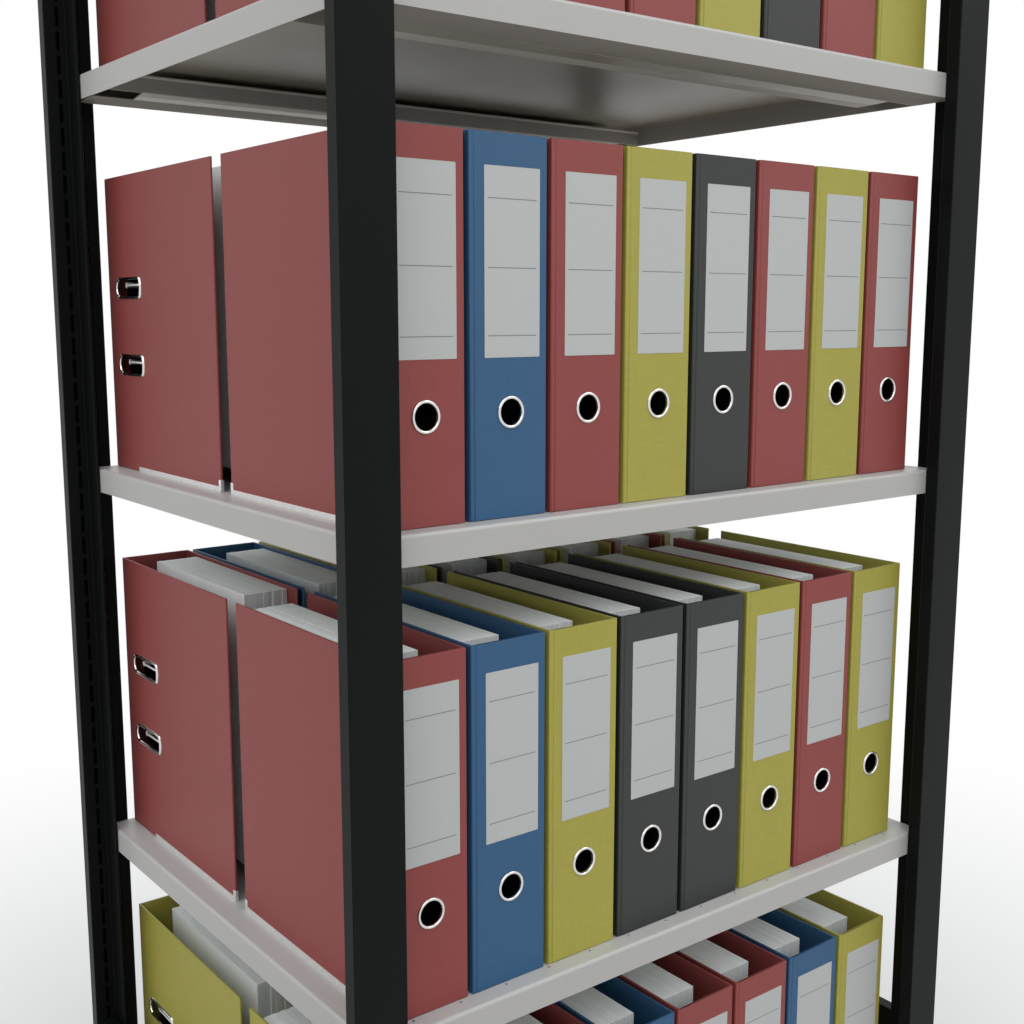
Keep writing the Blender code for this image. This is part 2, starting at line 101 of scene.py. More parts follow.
# %% Camera
CAMERA_PLACE = (-0.8797, -1.1381, 1.1247)
CAMERA_TURN_DEG = 37.682
CAMERA_DIP_DEG = 8.902
LENS_MM = 45.115
SENSOR_MM = 36.0
lens = bpy.data.cameras.new("photo_camera")
lens.lens = LENS_MM
lens.sensor_width = SENSOR_MM
camera = bpy.data.objects.new("photo_camera", lens)
camera.location = CAMERA_PLACE
camera.rotation_euler = (math.radians(90 - CAMERA_DIP_DEG), 0, math.radians(-CAMERA_TURN_DEG))
scene.collection.objects.link(camera)
scene.camera = camera
scene.view_settings.view_transform = "Standard"
print("camera:", LENS_MM, "mm lens, dipped", CAMERA_DIP_DEG, "degrees")

# %% [markdown]
# ## Writing nodes as sums
# A node tree can be wired node by node, but a finish is easier to read as a formula. `Signal` wraps
# one output socket, and every sum on it adds a Math node. `NodeSheet` has one method for any other
# node: its type, its settings, and what goes into its sockets.

# %% Node helpers
class Signal:
    """One output of a node tree that can be used in sums."""

    def __init__(self, sheet, socket):
        self.sheet = sheet
        self.socket = socket

    def out(self, name):
        """Another output of the same node."""
        return Signal(self.sheet, self.socket.node.outputs[name])

    def __add__(self, other):
        return self.sheet.math("ADD", self, other)

    def __mul__(self, other):
        return self.sheet.math("MULTIPLY", self, other)

    __radd__ = __add__

    def __sub__(self, other):
        return self.sheet.math("SUBTRACT", self, other)

    def __rsub__(self, other):
        return self.sheet.math("SUBTRACT", other, self)

    def __lt__(self, other):
        return self.sheet.math("LESS_THAN", self, other)

    def __gt__(self, other):
        return self.sheet.math("GREATER_THAN", self, other)

    def __abs__(self):
        return self.sheet.math("ABSOLUTE", self)


class NodeSheet:
    """A node tree that is written as calls."""

    def __init__(self, tree):
        self.tree = tree

    def node(self, kind, settings=None, sockets=None, output=0):
        """Add a node; the result is one of its outputs."""
        made = self.tree.nodes.new(kind)
        for name, value in (settings or {}).items():
            setattr(made, name, value)
        for key, value in (sockets or {}).items():
            self.feed(made.inputs[key], value)
        return Signal(self, made.outputs[output]) if made.outputs else None

    def feed(self, socket, value):
        """Link or set one input."""
        if isinstance(value, Signal):
            self.tree.links.new(value.socket, socket)
        else:
            socket.default_value = value

    def math(self, operation, *values):
        return self.node("ShaderNodeMath", {"operation": operation}, dict(enumerate(values)))

    def blend(self, factor, low, high):
        """A colour between two colours."""
        colours = [value if isinstance(value, Signal) else (*value, 1) for value in (low, high)]
        return self.node("ShaderNodeMix", {"data_type": "RGBA"},
                         {0: factor, 6: colours[0], 7: colours[1]}, 2)

    def noise(self, place, size, detail=2.0):
        """Cloudy values round 0.5 with features of about the given size."""
        return self.node("ShaderNodeTexNoise", {}, {"Vector": place, "Scale": 1 / size, "Detail": detail})


def cleared_sheet(owner):
    """The emptied node sheet of a world or a material."""
    owner.use_nodes = True
    owner.node_tree.nodes.clear()
    return NodeSheet(owner.node_tree)


def new_finish(name):
    """An empty material, its node sheet and the Object coordinates in it."""
    material = bpy.data.materials.new(name)
    sheet = cleared_sheet(material)
    return material, sheet, sheet.node("ShaderNodeTexCoord", output="Object")


print("node helpers ready")

# %% [markdown]
# ## Studio
# The photograph has a white background and an even, soft light. A white dome gives most of that, and
# two broad lamps high at the front add the stronger light on decks, rims and paper. The background's
# white is made for camera, mirror and glass rays only, so it adds no light to the object. The floor
# fades into it further out. It sends less light back up than it shows, because the undersides in the
# photograph are dark.

# %% World, floor and lamps
WHITE = (1, 1, 1, 1)
DOME_STRENGTH = 0.92
DOME_COLOUR = (0.975, 1.0, 1.015, 1)
# Each lamp: watts, size and place.
LAMPS = {"left_lamp": (90.0, 4.5, (-2.0, -2.0, 4.2)), "right_lamp": (29.0, 2.4, (2.2, -1.9, 3.4))}
LAMP_AIM = (0.0, 0.0, 0.9)
FLOOR_SIZE = 40.0
FLOOR_NEAR = 0.4
FLOOR_FAR = 2.2
FLOOR_PATCH = 0.35
FLOOR_TONES = ((0.66, 0.66, 0.66), (0.70, 0.70, 0.695))
FLOOR_BOUNCE = (0.32, 0.285, 0.25, 1)


def seen_directly(sheet):
    """1 for camera, mirror and glass rays, and 0 for rays that carry light."""
    path = sheet.node("ShaderNodeLightPath", output="Is Camera Ray")
    mirrored = sheet.math("MAXIMUM", path.out("Is Glossy Ray"), path.out("Is Transmission Ray"))
    return sheet.math("MAXIMUM", path, mirrored)


world = bpy.data.worlds.new("studio")
sheet = cleared_sheet(world)
dome = sheet.node("ShaderNodeBackground", {}, {"Color": DOME_COLOUR, "Strength": DOME_STRENGTH})
backdrop = sheet.node("ShaderNodeBackground", {}, {"Color": WHITE, "Strength": 1.0})
mixed = sheet.node("ShaderNodeMixShader", {}, {0: seen_directly(sheet), 1: dome, 2: backdrop})
sheet.node("ShaderNodeOutputWorld", {}, {"Surface": mixed})
scene.world = world

floor_material, sheet, place = new_finish("studio_floor")
distance = sheet.node("ShaderNodeVectorMath", {"operation": "LENGTH"}, {0: place}, "Value")
fade = sheet.node("ShaderNodeMapRange", {"interpolation_type": "SMOOTHSTEP"},
                  {"Value": distance, "From Min": FLOOR_NEAR, "From Max": FLOOR_FAR})
tone = sheet.blend(sheet.noise(place, FLOOR_PATCH), *FLOOR_TONES)
matt = sheet.node("ShaderNodeBsdfDiffuse", {}, {"Color": tone})
white = sheet.node("ShaderNodeEmission", {}, {"Color": WHITE, "Strength": 1.0})
shown = sheet.node("ShaderNodeMixShader", {}, {0: fade, 1: matt, 2: white})
bounced = sheet.node("ShaderNodeBsdfDiffuse", {}, {"Color": FLOOR_BOUNCE})
mixed = sheet.node("ShaderNodeMixShader", {}, {0: seen_directly(sheet), 1: bounced, 2: shown})
sheet.node("ShaderNodeOutputMaterial", {}, {"Surface": mixed})
half_floor = FLOOR_SIZE / 2
floor_mesh = bpy.data.meshes.new("studio_floor")
floor_mesh.from_pydata([(-half_floor, -half_floor, 0), (half_floor, -half_floor, 0),
                        (half_floor, half_floor, 0), (-half_floor, half_floor, 0)], [], [(0, 1, 2, 3)])
floor_mesh.materials.append(floor_material)
floor = bpy.data.objects.new("studio_floor", floor_mesh)
scene.collection.objects.link(floor)
floor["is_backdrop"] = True

for name, (watts, size, place) in LAMPS.items():
    lamp_data = bpy.data.lights.new(name, "AREA")
    lamp_data.energy = watts
    lamp_data.size = size
    lamp = bpy.data.objects.new(name, lamp_data)
    lamp.location = place
    lamp.rotation_euler = (Vector(LAMP_AIM) - Vector(place)).to_track_quat("-Z", "Y").to_euler()
    scene.collection.objects.link(lamp)
print("studio: dome", DOME_STRENGTH, "and", len(LAMPS), "lamps")

# %% [markdown]
# ## Paint and metal
# The uprights have a black powder coat and the shelves a light grey one. Powder melts into a skin
# with a fine orange peel, so its bump is a small noise and its gloss drifts slowly over the sheet.
# Clips and bolts are zinc-plated with a patchy sheen. The files' rings and rims are bright nickel,
# and their other fittings satin nickel.

# %% Powder coats, zinc, nickel and plastic
# Faces marked as under, the shelves' undersides, get painted shade: the coat's dark colour times this tint,
# mixed in by this share.
UNDER_SHADE_TINT = (0.98, 0.88, 0.55)
UNDER_SHADE_SHARE = 0.40
PEEL_SIZE = 0.0011
PEEL_DEPTH = 0.00012
DRIFT_SIZE = 0.16
DUST_SIZE = 0.012
GRAIN_SIZE = 0.0008
GRAIN_DEPTH = 0.00015
PLASTIC_PATCH = 0.02
PLAIN_SPECULAR = 0.5


def close_finish(sheet, colour, roughness, specular, bump=None, extra=None):
    """The shader at the end of a finish; a bump is its height, depth and strength."""
    sockets = {"Base Color": colour, "Roughness": roughness, "Specular IOR Level": specular}
    sockets.update(extra or {})
    if bump:
        names = ("Height", "Distance", "Strength")
        sockets["Normal"] = sheet.node("ShaderNodeBump", {}, dict(zip(names, bump)))
    shader = sheet.node("ShaderNodeBsdfPrincipled", {}, sockets)
    sheet.node("ShaderNodeOutputMaterial", {}, {"Surface": shader})


def powder_coat(name, dark, light, roughness, specular, tint=WHITE):
    """A sprayed and baked coat with orange peel; faces marked as under get painted shade, darker and
    browner.
    """
    material, sheet, place = new_finish(name)
    peel = sheet.noise(place, PEEL_SIZE, 3.0)
    drift = sheet.noise(place, DRIFT_SIZE, 3.0)
    dust = sheet.noise(place, DUST_SIZE, 4.0)
    under = sheet.node("ShaderNodeAttribute", {"attribute_name": "under"}, output="Fac")
    colour = sheet.blend(drift * 0.7 + dust * 0.3, dark, light)
    under_shade = tuple(part * share for part, share in zip(dark, UNDER_SHADE_TINT))
    colour = sheet.blend(under * UNDER_SHADE_SHARE, colour, under_shade)
    close_finish(sheet, colour, roughness + drift * 0.10 + dust * 0.06, specular, (peel, PEEL_DEPTH, 0.35),
                 {"Specular Tint": tint})
    return material


def plated_metal(name, dark, light, roughness, crystal):
    """Plated steel with soft patches of crystal."""
    material, sheet, place = new_finish(name)
    patches = sheet.node("ShaderNodeTexVoronoi", {}, {"Vector": place, "Scale": 1 / crystal}, "Color")
    level = sheet.node("ShaderNodeSeparateColor", {}, {0: patches})
    streaks = sheet.noise(place, crystal * 0.4, 4.0)
    colour = sheet.blend(level * 0.6 + streaks * 0.4, dark, light)
    close_finish(sheet, colour, roughness + streaks * 0.12, PLAIN_SPECULAR, None, {"Metallic": 1.0})
    return material


def moulded_plastic(name, dark, light, specular):
    """A fine-grained moulded black plastic."""
    material, sheet, place = new_finish(name)
    grain = sheet.noise(place, GRAIN_SIZE)
    colour = sheet.blend(sheet.noise(place, PLASTIC_PATCH), dark, light)
    close_finish(sheet, colour, 0.5 + grain * 0.2, specular, (grain, GRAIN_DEPTH, 0.4))
    return material


BLACK_COAT = powder_coat("black_powder_coat", (0.0036, 0.0042, 0.0042), (0.0052, 0.0058, 0.0057),
                         0.36, 0.10, (0.93, 1.0, 1.02, 1))
GREY_COAT = powder_coat("grey_powder_coat", (0.415, 0.412, 0.403), (0.450, 0.447, 0.437), 0.31, 0.42)
THIN_COAT = powder_coat("grey_thin_coat", (0.45, 0.44, 0.425), (0.48, 0.47, 0.455), 0.55, 0.04)
# The hem coat is nearly twice as light as the grey coat: a painted highlight on the rolled hems and the
# strips beside them.
HEM_HIGHLIGHT_COAT = powder_coat("grey_hem_coat", (0.80, 0.775, 0.75), (0.86, 0.835, 0.81), 0.55, 0.25)
ZINC = plated_metal("zinc_plate", (0.42, 0.43, 0.44), (0.62, 0.63, 0.64), 0.28, 0.006)
NICKEL = plated_metal("bright_nickel", (0.64, 0.63, 0.61), (0.74, 0.73, 0.71), 0.12, 0.004)
SATIN = plated_metal("satin_nickel", (0.80, 0.80, 0.79), (0.90, 0.90, 0.89), 0.44, 0.004)
BLACK_PLASTIC = moulded_plastic("black_moulding", (0.010, 0.010, 0.010), (0.018, 0.018, 0.018),
                                PLAIN_SPECULAR)
# Near-black with no gloss: painted shade for the dark inside of the files.
SHADE_LINING = moulded_plastic("dark_lining", (0.0012, 0.0012, 0.0012), (0.0022, 0.0022, 0.0022), 0.0)
print("finishes:", [m.name for m in (BLACK_COAT, GREY_COAT, ZINC, NICKEL, SATIN, BLACK_PLASTIC)])

# %% [markdown]
# ## Board, label and paper
# A file's board is covered in a fine woven cloth paper. Two sine waves crossed at right angles give
# the threads; the horizontal one runs on X plus Y, so that it works on the spine and on the covers.
# The label has three ruled lines, placed by its own UV map. Paper shows the edges of its sheets, so
# its pattern changes mostly across the sheets, which stand along X, and its ends get painted shade.

# %% Board, label and paper finishes
WEAVE_PITCH = 0.0014
THREAD_LENGTH = 0.022
BOARD_CLOUD = 0.05
BOARD_FIBRE = 0.0016
BOARD_BUMP = 0.00010
SHEET_PITCH = 0.00045
SHEETS_IN_BAND = 13
SHEET_BUMP = 0.0003
PAPER_CLOUD = 0.04
LABEL_WIDTH = 0.058
LABEL_HEIGHT = 0.1555
LABEL_LINES = (0.0181, 0.0737, 0.1296)
LABEL_LINE_INSET = 0.0035
LABEL_LINE_HALF = 0.00045
LABEL_FIBRE = 0.0012
LABEL_BUMP = 0.00005


def file_board(name, colour, spread):
    """Board covered in fine cloth paper."""
    material, sheet, place = new_finish(name)
    parts = sheet.node("ShaderNodeSeparateXYZ", {}, {0: place})
    across = parts.out("X") + parts.out("Y")
    up = parts.out("Z")
    turns = 2 * math.pi / WEAVE_PITCH
    threads = sheet.math("SINE", across * turns) * sheet.math("SINE", up * turns)
    slow = WEAVE_PITCH / THREAD_LENGTH
    warp, weft = [sheet.noise(sheet.node("ShaderNodeCombineXYZ", {}, {"X": x, "Z": z}), WEAVE_PITCH)
                  for x, z in ((across, up * slow), (across * slow, up))]
    cloud = sheet.noise(place, BOARD_CLOUD, 4.0)
    fibre = sheet.noise(place, BOARD_FIBRE, 3.0)
    shade = 0.5 + threads * 0.25 + (warp + weft - 1) * 1.1 + (cloud - 0.5) * 0.3 + (fibre - 0.5) * 0.3
    low = tuple(part * (1 - spread) for part in colour)
    high = tuple(part * (1 + spread) for part in colour)
    bump = (threads * 0.5 + fibre, BOARD_BUMP, 0.35)
    close_finish(sheet, sheet.blend(shade, low, high), 0.46 + fibre * 0.18, PLAIN_SPECULAR, bump)
    return material


def ruled_label(name):
    """White card with three ruled lines, read from the label's own UV map."""
    material, sheet, place = new_finish(name)
    spot = sheet.node("ShaderNodeUVMap", {"uv_map": "label"})
    parts = sheet.node("ShaderNodeSeparateXYZ", {}, {0: spot})
    across = parts.out("X")
    up = parts.out("Y")
    inked = abs(up - LABEL_LINES[0]) < LABEL_LINE_HALF
    for line in LABEL_LINES[1:]:
        inked = inked + (abs(up - line) < LABEL_LINE_HALF)
    inside = (across > LABEL_LINE_INSET) * (across < LABEL_WIDTH - LABEL_LINE_INSET)
    fibre = sheet.noise(place, LABEL_FIBRE, 4.0)
    card = sheet.blend(fibre, (0.455, 0.476, 0.473), (0.50, 0.523, 0.52))
    colour = sheet.blend(inked * inside, card, (0.22, 0.235, 0.23))
    close_finish(sheet, colour, 0.55 + fibre * 0.15, 0.2, (fibre, LABEL_BUMP, 0.2))
    return material


def stacked_paper(name):
    """The edges of stacked sheets: lines across X, with slow changes along them."""
    material, sheet, place = new_finish(name)
    parts = sheet.node("ShaderNodeSeparateXYZ", {}, {0: place})
    fine, broad = [sheet.node("ShaderNodeTexNoise", {"noise_dimensions": "1D"},
                              {"W": parts.out("X"), "Scale": 1 / pitch, "Detail": detail})
                   for pitch, detail in ((SHEET_PITCH, 2.0), (SHEETS_IN_BAND * SHEET_PITCH, 1.0))]
    cloud = sheet.noise(place, PAPER_CLOUD)
    # Faces that look along Y, the paper's ends, get painted shade, which varies with the sheet lines.
    facing = sheet.node("ShaderNodeNewGeometry", output="Normal")
    ends = abs(sheet.node("ShaderNodeSeparateXYZ", {}, {0: facing}).out("Y"))
    shade = fine * 0.5 + broad * 0.75 + (cloud - 0.5) * 0.2
    colour = sheet.blend(shade, (0.74, 0.78, 0.775), (0.96, 0.995, 0.99))
    colour = sheet.blend(ends * (0.62 - fine * 0.6), colour, (0.0, 0.0, 0.0))
    close_finish(sheet, colour, 0.8 + cloud * 0.1, 0.3, (fine, SHEET_BUMP, 0.5))
    return material


BOARDS = {"red": file_board("board_red", (0.240, 0.0445, 0.0412), 0.10),
          "blue": file_board("board_blue", (0.020, 0.088, 0.193), 0.11),
          "yellow": file_board("board_yellow", (0.351, 0.323, 0.054), 0.09),
          "grey": file_board("board_grey", (0.0190, 0.0225, 0.0205), 0.12)}
LABEL_CARD = ruled_label("label_card")
PAPER = stacked_paper("paper_edges")
print("boards:", sorted(BOARDS), "weave", WEAVE_PITCH * 1000, "mm")

# %% [markdown]
# ## Mesh helpers
# Most pieces here are folded or cut from sheet, so they begin as a flat outline that is pushed up
# into a prism. A 2D curve fills the outline, holes and all, and Bevel then breaks the sharp rims.

# %% Outlines, prisms and pieces
ARC_STEPS = 4
ROD_ROUNDING = 2
SMOOTH_DEG = 35.0
FLAT_AREA = 0.004
SQUARE = 0.99999
BEVEL_FROM_DEG = 50.0
WELD_DISTANCE = 0.000005
EDGE_BREAK = 0.0003
FACING_DOWN = -0.5
HALF_TURN = Matrix.Rotation(math.pi, 4, "Z")
# A shape's own Z axis turned to the front or the right, and its X and Y turned to depth and height.
TO_FRONT = Matrix.Rotation(math.pi / 2, 4, "X")
TO_RIGHT = Matrix.Rotation(math.pi / 2, 4, "Y")
ALONG_X = Matrix(((0, 0, 1, 0), (1, 0, 0, 0), (0, 1, 0, 0), (0, 0, 0, 1)))


def at(x, y, z):
    """A move to a place."""
    return Matrix.Translation((x, y, z))


def evaluated(work):
    """The plain mesh that an object's modifiers give; the object is removed."""
    depsgraph = bpy.context.evaluated_depsgraph_get()
    mesh = bpy.data.meshes.new_from_object(work.evaluated_get(depsgraph), preserve_all_data_layers=True,
                                           depsgraph=depsgraph)
    bpy.data.objects.remove(work, do_unlink=True)
    return mesh


def bench_object(name, data):
    """An object to work on, which is removed later."""
    work = bpy.data.objects.new(name, data)
    scene.collection.objects.link(work)
    return work


def cleaned(mesh):
    """Merge doubles and turn the faces outwards."""
    work = bmesh.new()
    work.from_mesh(mesh)
    bmesh.ops.remove_doubles(work, verts=work.verts, dist=WELD_DISTANCE)
    bmesh.ops.recalc_face_normals(work, faces=work.faces)
    work.to_mesh(mesh)
    work.free()
    return mesh


def closed_mesh(work, name):
    """The mesh of a finished bmesh, which is then freed."""
    mesh = bpy.data.meshes.new(name)
    work.to_mesh(mesh)
    work.free()
    return mesh


def modified(mesh, *steps):
    """A mesh after some modifiers; each step is (kind, settings)."""
    work = bench_object("work", mesh)
    for kind, settings in steps:
        modifier = work.modifiers.new(kind, kind)
        for name, value in settings.items():
            setattr(modifier, name, value)
    return evaluated(work)


def softened(mesh, width, segments=2):
    """Sharp edges broken with a small bevel."""
    settings = {"width": width, "segments": segments, "limit_method": "ANGLE",
                "angle_limit": math.radians(BEVEL_FROM_DEG), "use_clamp_overlap": False}
    return modified(mesh, ("BEVEL", settings))


def rounded(corners, steps=ARC_STEPS):
    """Points of a closed outline from corners (x, y, radius)."""
    points = []
    for index, (x, y, radius) in enumerate(corners):
        if radius == 0:
            points.append((x, y))
            continue
        corner = Vector((x, y))
        before = (Vector(corners[index - 1][:2]) - corner).normalized()
        after = (Vector(corners[(index + 1) % len(corners)][:2]) - corner).normalized()
        half_opening = before.angle(after) / 2
        first = corner + before * (radius / math.tan(half_opening))
        last = corner + after * (radius / math.tan(half_opening))
        centre = corner + (before + after).normalized() * (radius / math.sin(half_opening))
        for step in range(steps + 1):
            spoke = (first - centre).slerp(last - centre, step / steps)
            points.append(tuple(centre + spoke * radius))
    return points


def rounded_box(low, high, radius, steps=ARC_STEPS):
    """Points of a rectangle between two corners, all with one radius."""
    (left, bottom), (right, top) = low, high
    return rounded([(left, bottom, radius), (right, bottom, radius), (right, top, radius),
                    (left, top, radius)], steps)


def add_line(curve, points, closed):
    """A straight-edged line through points, added to a curve."""
    spline = curve.splines.new("POLY")
    spline.points.add(len(points) - 1)
    spline.use_cyclic_u = closed
    for point, place in zip(spline.points, points):
        point.co = (*place, 1)


def prism(outlines, length):
    """A closed solid over flat outlines in XY, from Z = 0 up to a length."""
    curve = bpy.data.curves.new("outline", "CURVE")
    curve.dimensions = "2D"
    curve.fill_mode = "BOTH"
    curve.extrude = length / 2
    for outline in outlines:
        add_line(curve, [(x, y, 0) for x, y in outline], True)
    mesh = cleaned(evaluated(bench_object("outline", curve)))
    mesh.transform(at(0, 0, length / 2))
    return mesh


def block(low, high):
    """A box between two corners."""
    work = bmesh.new()
    size = Vector(high) - Vector(low)
    middle = (Vector(high) + Vector(low)) / 2
    bmesh.ops.create_cube(work, size=1, matrix=at(*middle) @ Matrix.Diagonal((*size, 1)))
    return closed_mesh(work, "block")


def turned(profile, steps):
    """A profile of (radius, height) points turned once round the Z axis."""
    work = bmesh.new()
    points = [work.verts.new((radius, 0, height)) for radius, height in profile]
    edges = [work.edges.new(pair) for pair in zip(points, points[1:])]
    bmesh.ops.spin(work, geom=points + edges, axis=(0, 0, 1), cent=(0, 0, 0), steps=steps,
                   angle=2 * math.pi, use_merge=True)
    return cleaned(closed_mesh(work, "turned"))


def plug(radius, start, end, steps):
    """A round plug along Z that cuts a hole."""
    return turned([(0.0, start), (radius, start), (radius, end), (0.0, end)], steps)


def rod(points, radius, closed=False):
    """A round rod along a line of points."""
    curve = bpy.data.curves.new("rod", "CURVE")
    curve.dimensions = "3D"
    curve.bevel_depth = radius
    curve.bevel_resolution = ROD_ROUNDING
    curve.use_fill_caps = True
    add_line(curve, points, closed)
    return cleaned(evaluated(bench_object("rod", curve)))


def moved(mesh, matrix):
    """A copy of a mesh at another place."""
    copy = mesh.copy()
    copy.transform(matrix)
    if matrix.determinant() < 0:
        copy.flip_normals()
    return copy


def joined(name, meshes):
    """Several meshes as one."""
    work = bmesh.new()
    for mesh in meshes:
        work.from_mesh(mesh)
    return closed_mesh(work, name)


def both_sides(mesh):
    """A piece of the front and its copy at the rear."""
    return [mesh, moved(mesh, HALF_TURN)]


def shaded(mesh, material=None):
    """Smooth bends with sharp folds, square and large faces flat, and one material."""
    mesh.shade_smooth()
    mesh.set_sharp_from_angle(angle=math.radians(SMOOTH_DEG))
    bent = [face.area < FLAT_AREA and max(map(abs, face.normal)) < SQUARE for face in mesh.polygons]
    mesh.polygons.foreach_set("use_smooth", bent)
    if material is not None:
        mesh.materials.clear()
        mesh.materials.append(material)
    return mesh


def piece(name, mesh, body, slot, *nodes):
    """One finished piece on its body, standing for the named nodes."""
    made = bpy.data.objects.new(name, mesh)
    mesh.name = name
    scene.collection.objects.link(made)
    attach(made, body)
    if nodes:
        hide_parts(*nodes)


print("mesh helpers ready, arcs of", ARC_STEPS, "steps")

# %% [markdown]
# ## Geometry Nodes for what repeats
# Slots, holes, bolts, files and bundles of paper all repeat. Three small trees make them: one cuts
# a column or row of openings, one sets a finished piece on given places, and one stacks uneven
# bundles. Each has named inputs for its sizes, and its result is turned into a plain mesh.

# %% Geometry trees
def new_tree(name, inputs):
    """A geometry tree with a geometry input and the given named inputs."""
    tree = bpy.data.node_groups.new(name, "GeometryNodeTree")
    tree.interface.new_socket("Geometry", in_out="INPUT", socket_type="NodeSocketGeometry")
    for label, kind in inputs.items():
        tree.interface.new_socket(label, in_out="INPUT", socket_type="NodeSocket" + kind)
    tree.interface.new_socket("Geometry", in_out="OUTPUT", socket_type="NodeSocketGeometry")
    sheet = NodeSheet(tree)
    return tree, sheet, sheet.node("NodeGroupInput")


def close_tree(sheet, entry, geometry):
    """The end of each tree: real geometry with its material."""
    real = sheet.node("GeometryNodeRealizeInstances", {}, {"Geometry": geometry})
    dressed = sheet.node("GeometryNodeSetMaterial", {}, {"Geometry": real, "Material": entry.out("Finish")})
    sheet.node("NodeGroupOutput", {}, {0: dressed})


def run_tree(tree, mesh, values):
    """The plain mesh that a tree makes from a mesh and named values."""
    work = bench_object(tree.name, mesh)
    modifier = work.modifiers.new(tree.name, "NODES")
    modifier.node_group = tree
    for item in tree.interface.items_tree:
        if item.in_out == "INPUT" and item.name in values:
            modifier[item.identifier] = values[item.name]
    return evaluated(work)


CUT_LINE, sheet, entry = new_tree("cut_a_line_of_openings", {
    "Opening": "Object", "Count": "Int", "Start": "Vector", "Step": "Vector", "Finish": "Material"})
line = sheet.node("GeometryNodeMeshLine", {}, {
    "Count": entry.out("Count"), "Start Location": entry.out("Start"), "Offset": entry.out("Step")})
opening = sheet.node("GeometryNodeObjectInfo", {}, {"Object": entry.out("Opening")}, "Geometry")
cutters = sheet.node("GeometryNodeInstanceOnPoints", {}, {"Points": line, "Instance": opening})
cutters = sheet.node("GeometryNodeRealizeInstances", {}, {"Geometry": cutters})
cut = sheet.node("GeometryNodeMeshBoolean", {"operation": "DIFFERENCE", "solver": "EXACT"},
                 {"Mesh 1": entry, "Mesh 2": cutters})
close_tree(sheet, entry, cut)

SET_ON_PLACES, sheet, entry = new_tree("set_on_places", {
    "Piece": "Object", "Turn": "Rotation", "Finish": "Material"})
source = sheet.node("GeometryNodeObjectInfo", {}, {"Object": entry.out("Piece")}, "Geometry")
copies = sheet.node("GeometryNodeInstanceOnPoints", {}, {
    "Points": entry, "Instance": source, "Rotation": entry.out("Turn")})
close_tree(sheet, entry, copies)

STACK_BUNDLES, sheet, entry = new_tree("stack_bundles", {
    "Bundle": "Object", "Uneven Depth": "Float", "Uneven Height": "Float", "Seed": "Int",
    "Turn": "Rotation", "Finish": "Material"})
bundle = sheet.node("GeometryNodeObjectInfo", {}, {"Object": entry.out("Bundle")}, "Geometry")
shorter = sheet.node("FunctionNodeRandomValue", {"data_type": "FLOAT"},
                     {2: 0.0, 3: entry.out("Uneven Depth"), "Seed": entry.out("Seed")}, 1)
lower = sheet.node("FunctionNodeRandomValue", {"data_type": "FLOAT"},
                   {2: 0.0, 3: entry.out("Uneven Height"), "Seed": entry.out("Seed") + 1}, 1)
scale = sheet.node("ShaderNodeCombineXYZ", {}, {"X": 1.0, "Y": 1 - shorter, "Z": 1 - lower})
stack = sheet.node("GeometryNodeInstanceOnPoints", {}, {
    "Points": entry, "Instance": bundle, "Scale": scale, "Rotation": entry.out("Turn")})
close_tree(sheet, entry, stack)


def cut_line(mesh, opening, count, start, step, material):
    """A mesh with a line of openings cut into it."""
    cutter = bench_object("opening", opening)
    made = run_tree(CUT_LINE, mesh, {
        "Opening": cutter, "Count": count, "Start": start, "Step": step, "Finish": material})
    bpy.data.objects.remove(cutter, do_unlink=True)
    return made


def points_mesh(places):
    """A mesh with a bare vertex at each place."""
    mesh = bpy.data.meshes.new("places")
    mesh.from_pydata([tuple(place) for place in places], [], [])
    return mesh


def set_on_places(source, places, turn, material):
    """Copies of a mesh on places, turned about Z, as one mesh."""
    original = bench_object("source", source)
    made = run_tree(SET_ON_PLACES, points_mesh(places), {
        "Piece": original, "Turn": (0.0, 0.0, turn), "Finish": material})
    bpy.data.objects.remove(original, do_unlink=True)
    return made


print("trees:", [tree.name for tree in (CUT_LINE, SET_ON_PLACES, STACK_BUNDLES)])

# %% [markdown]
# ## Uprights
# Each upright is rolled from one strip: a flat hollow head that faces outwards and a double web
# behind it. Its back has two columns of slots for the shelf clips. The section is drawn once, pushed
# up to full height, and the slots are cut by the tree for openings.

# %% Uprights and feet
HEAD_DEPTH = 0.015
POST_SHEET = 0.0015
POST_RADIUS = 0.0009
POST_INNER_RADIUS = 0.0003
WEB_FILLET = 0.0006
WEB_HALF = 0.0015
SLOT_INSET = 0.0144
SLOT_WIDTH = 0.0042
SLOT_HEIGHT = 0.020
SLOT_ROUND = 0.001
SLOT_PITCH = 0.025
FIRST_SLOT = 0.0446
SLOT_COUNT = 71
FOOT_RIM = 0.002
FOOT_ROUND = 0.0012
SEAT_GAP = 0.0003


def upright_section(width, depth, rim=0.0):
    """The T of an upright, its head's front face on Y = 0."""
    half = width / 2 + rim
    web = WEB_HALF + rim
    head = HEAD_DEPTH + rim
    radius = POST_RADIUS + rim
    return rounded([
        (-half, -rim, radius), (half, -rim, radius), (half, head, radius), (web, head, WEB_FILLET),
        (web, depth + rim, WEB_FILLET), (-web, depth + rim, WEB_FILLET), (-web, head, WEB_FILLET),
        (-half, head, radius)])


def head_hollow(width):
    """The space inside the rolled head."""
    half = width / 2 - POST_SHEET
    return rounded_box((-half, POST_SHEET), (half, HEAD_DEPTH - POST_SHEET), POST_INNER_RADIUS)


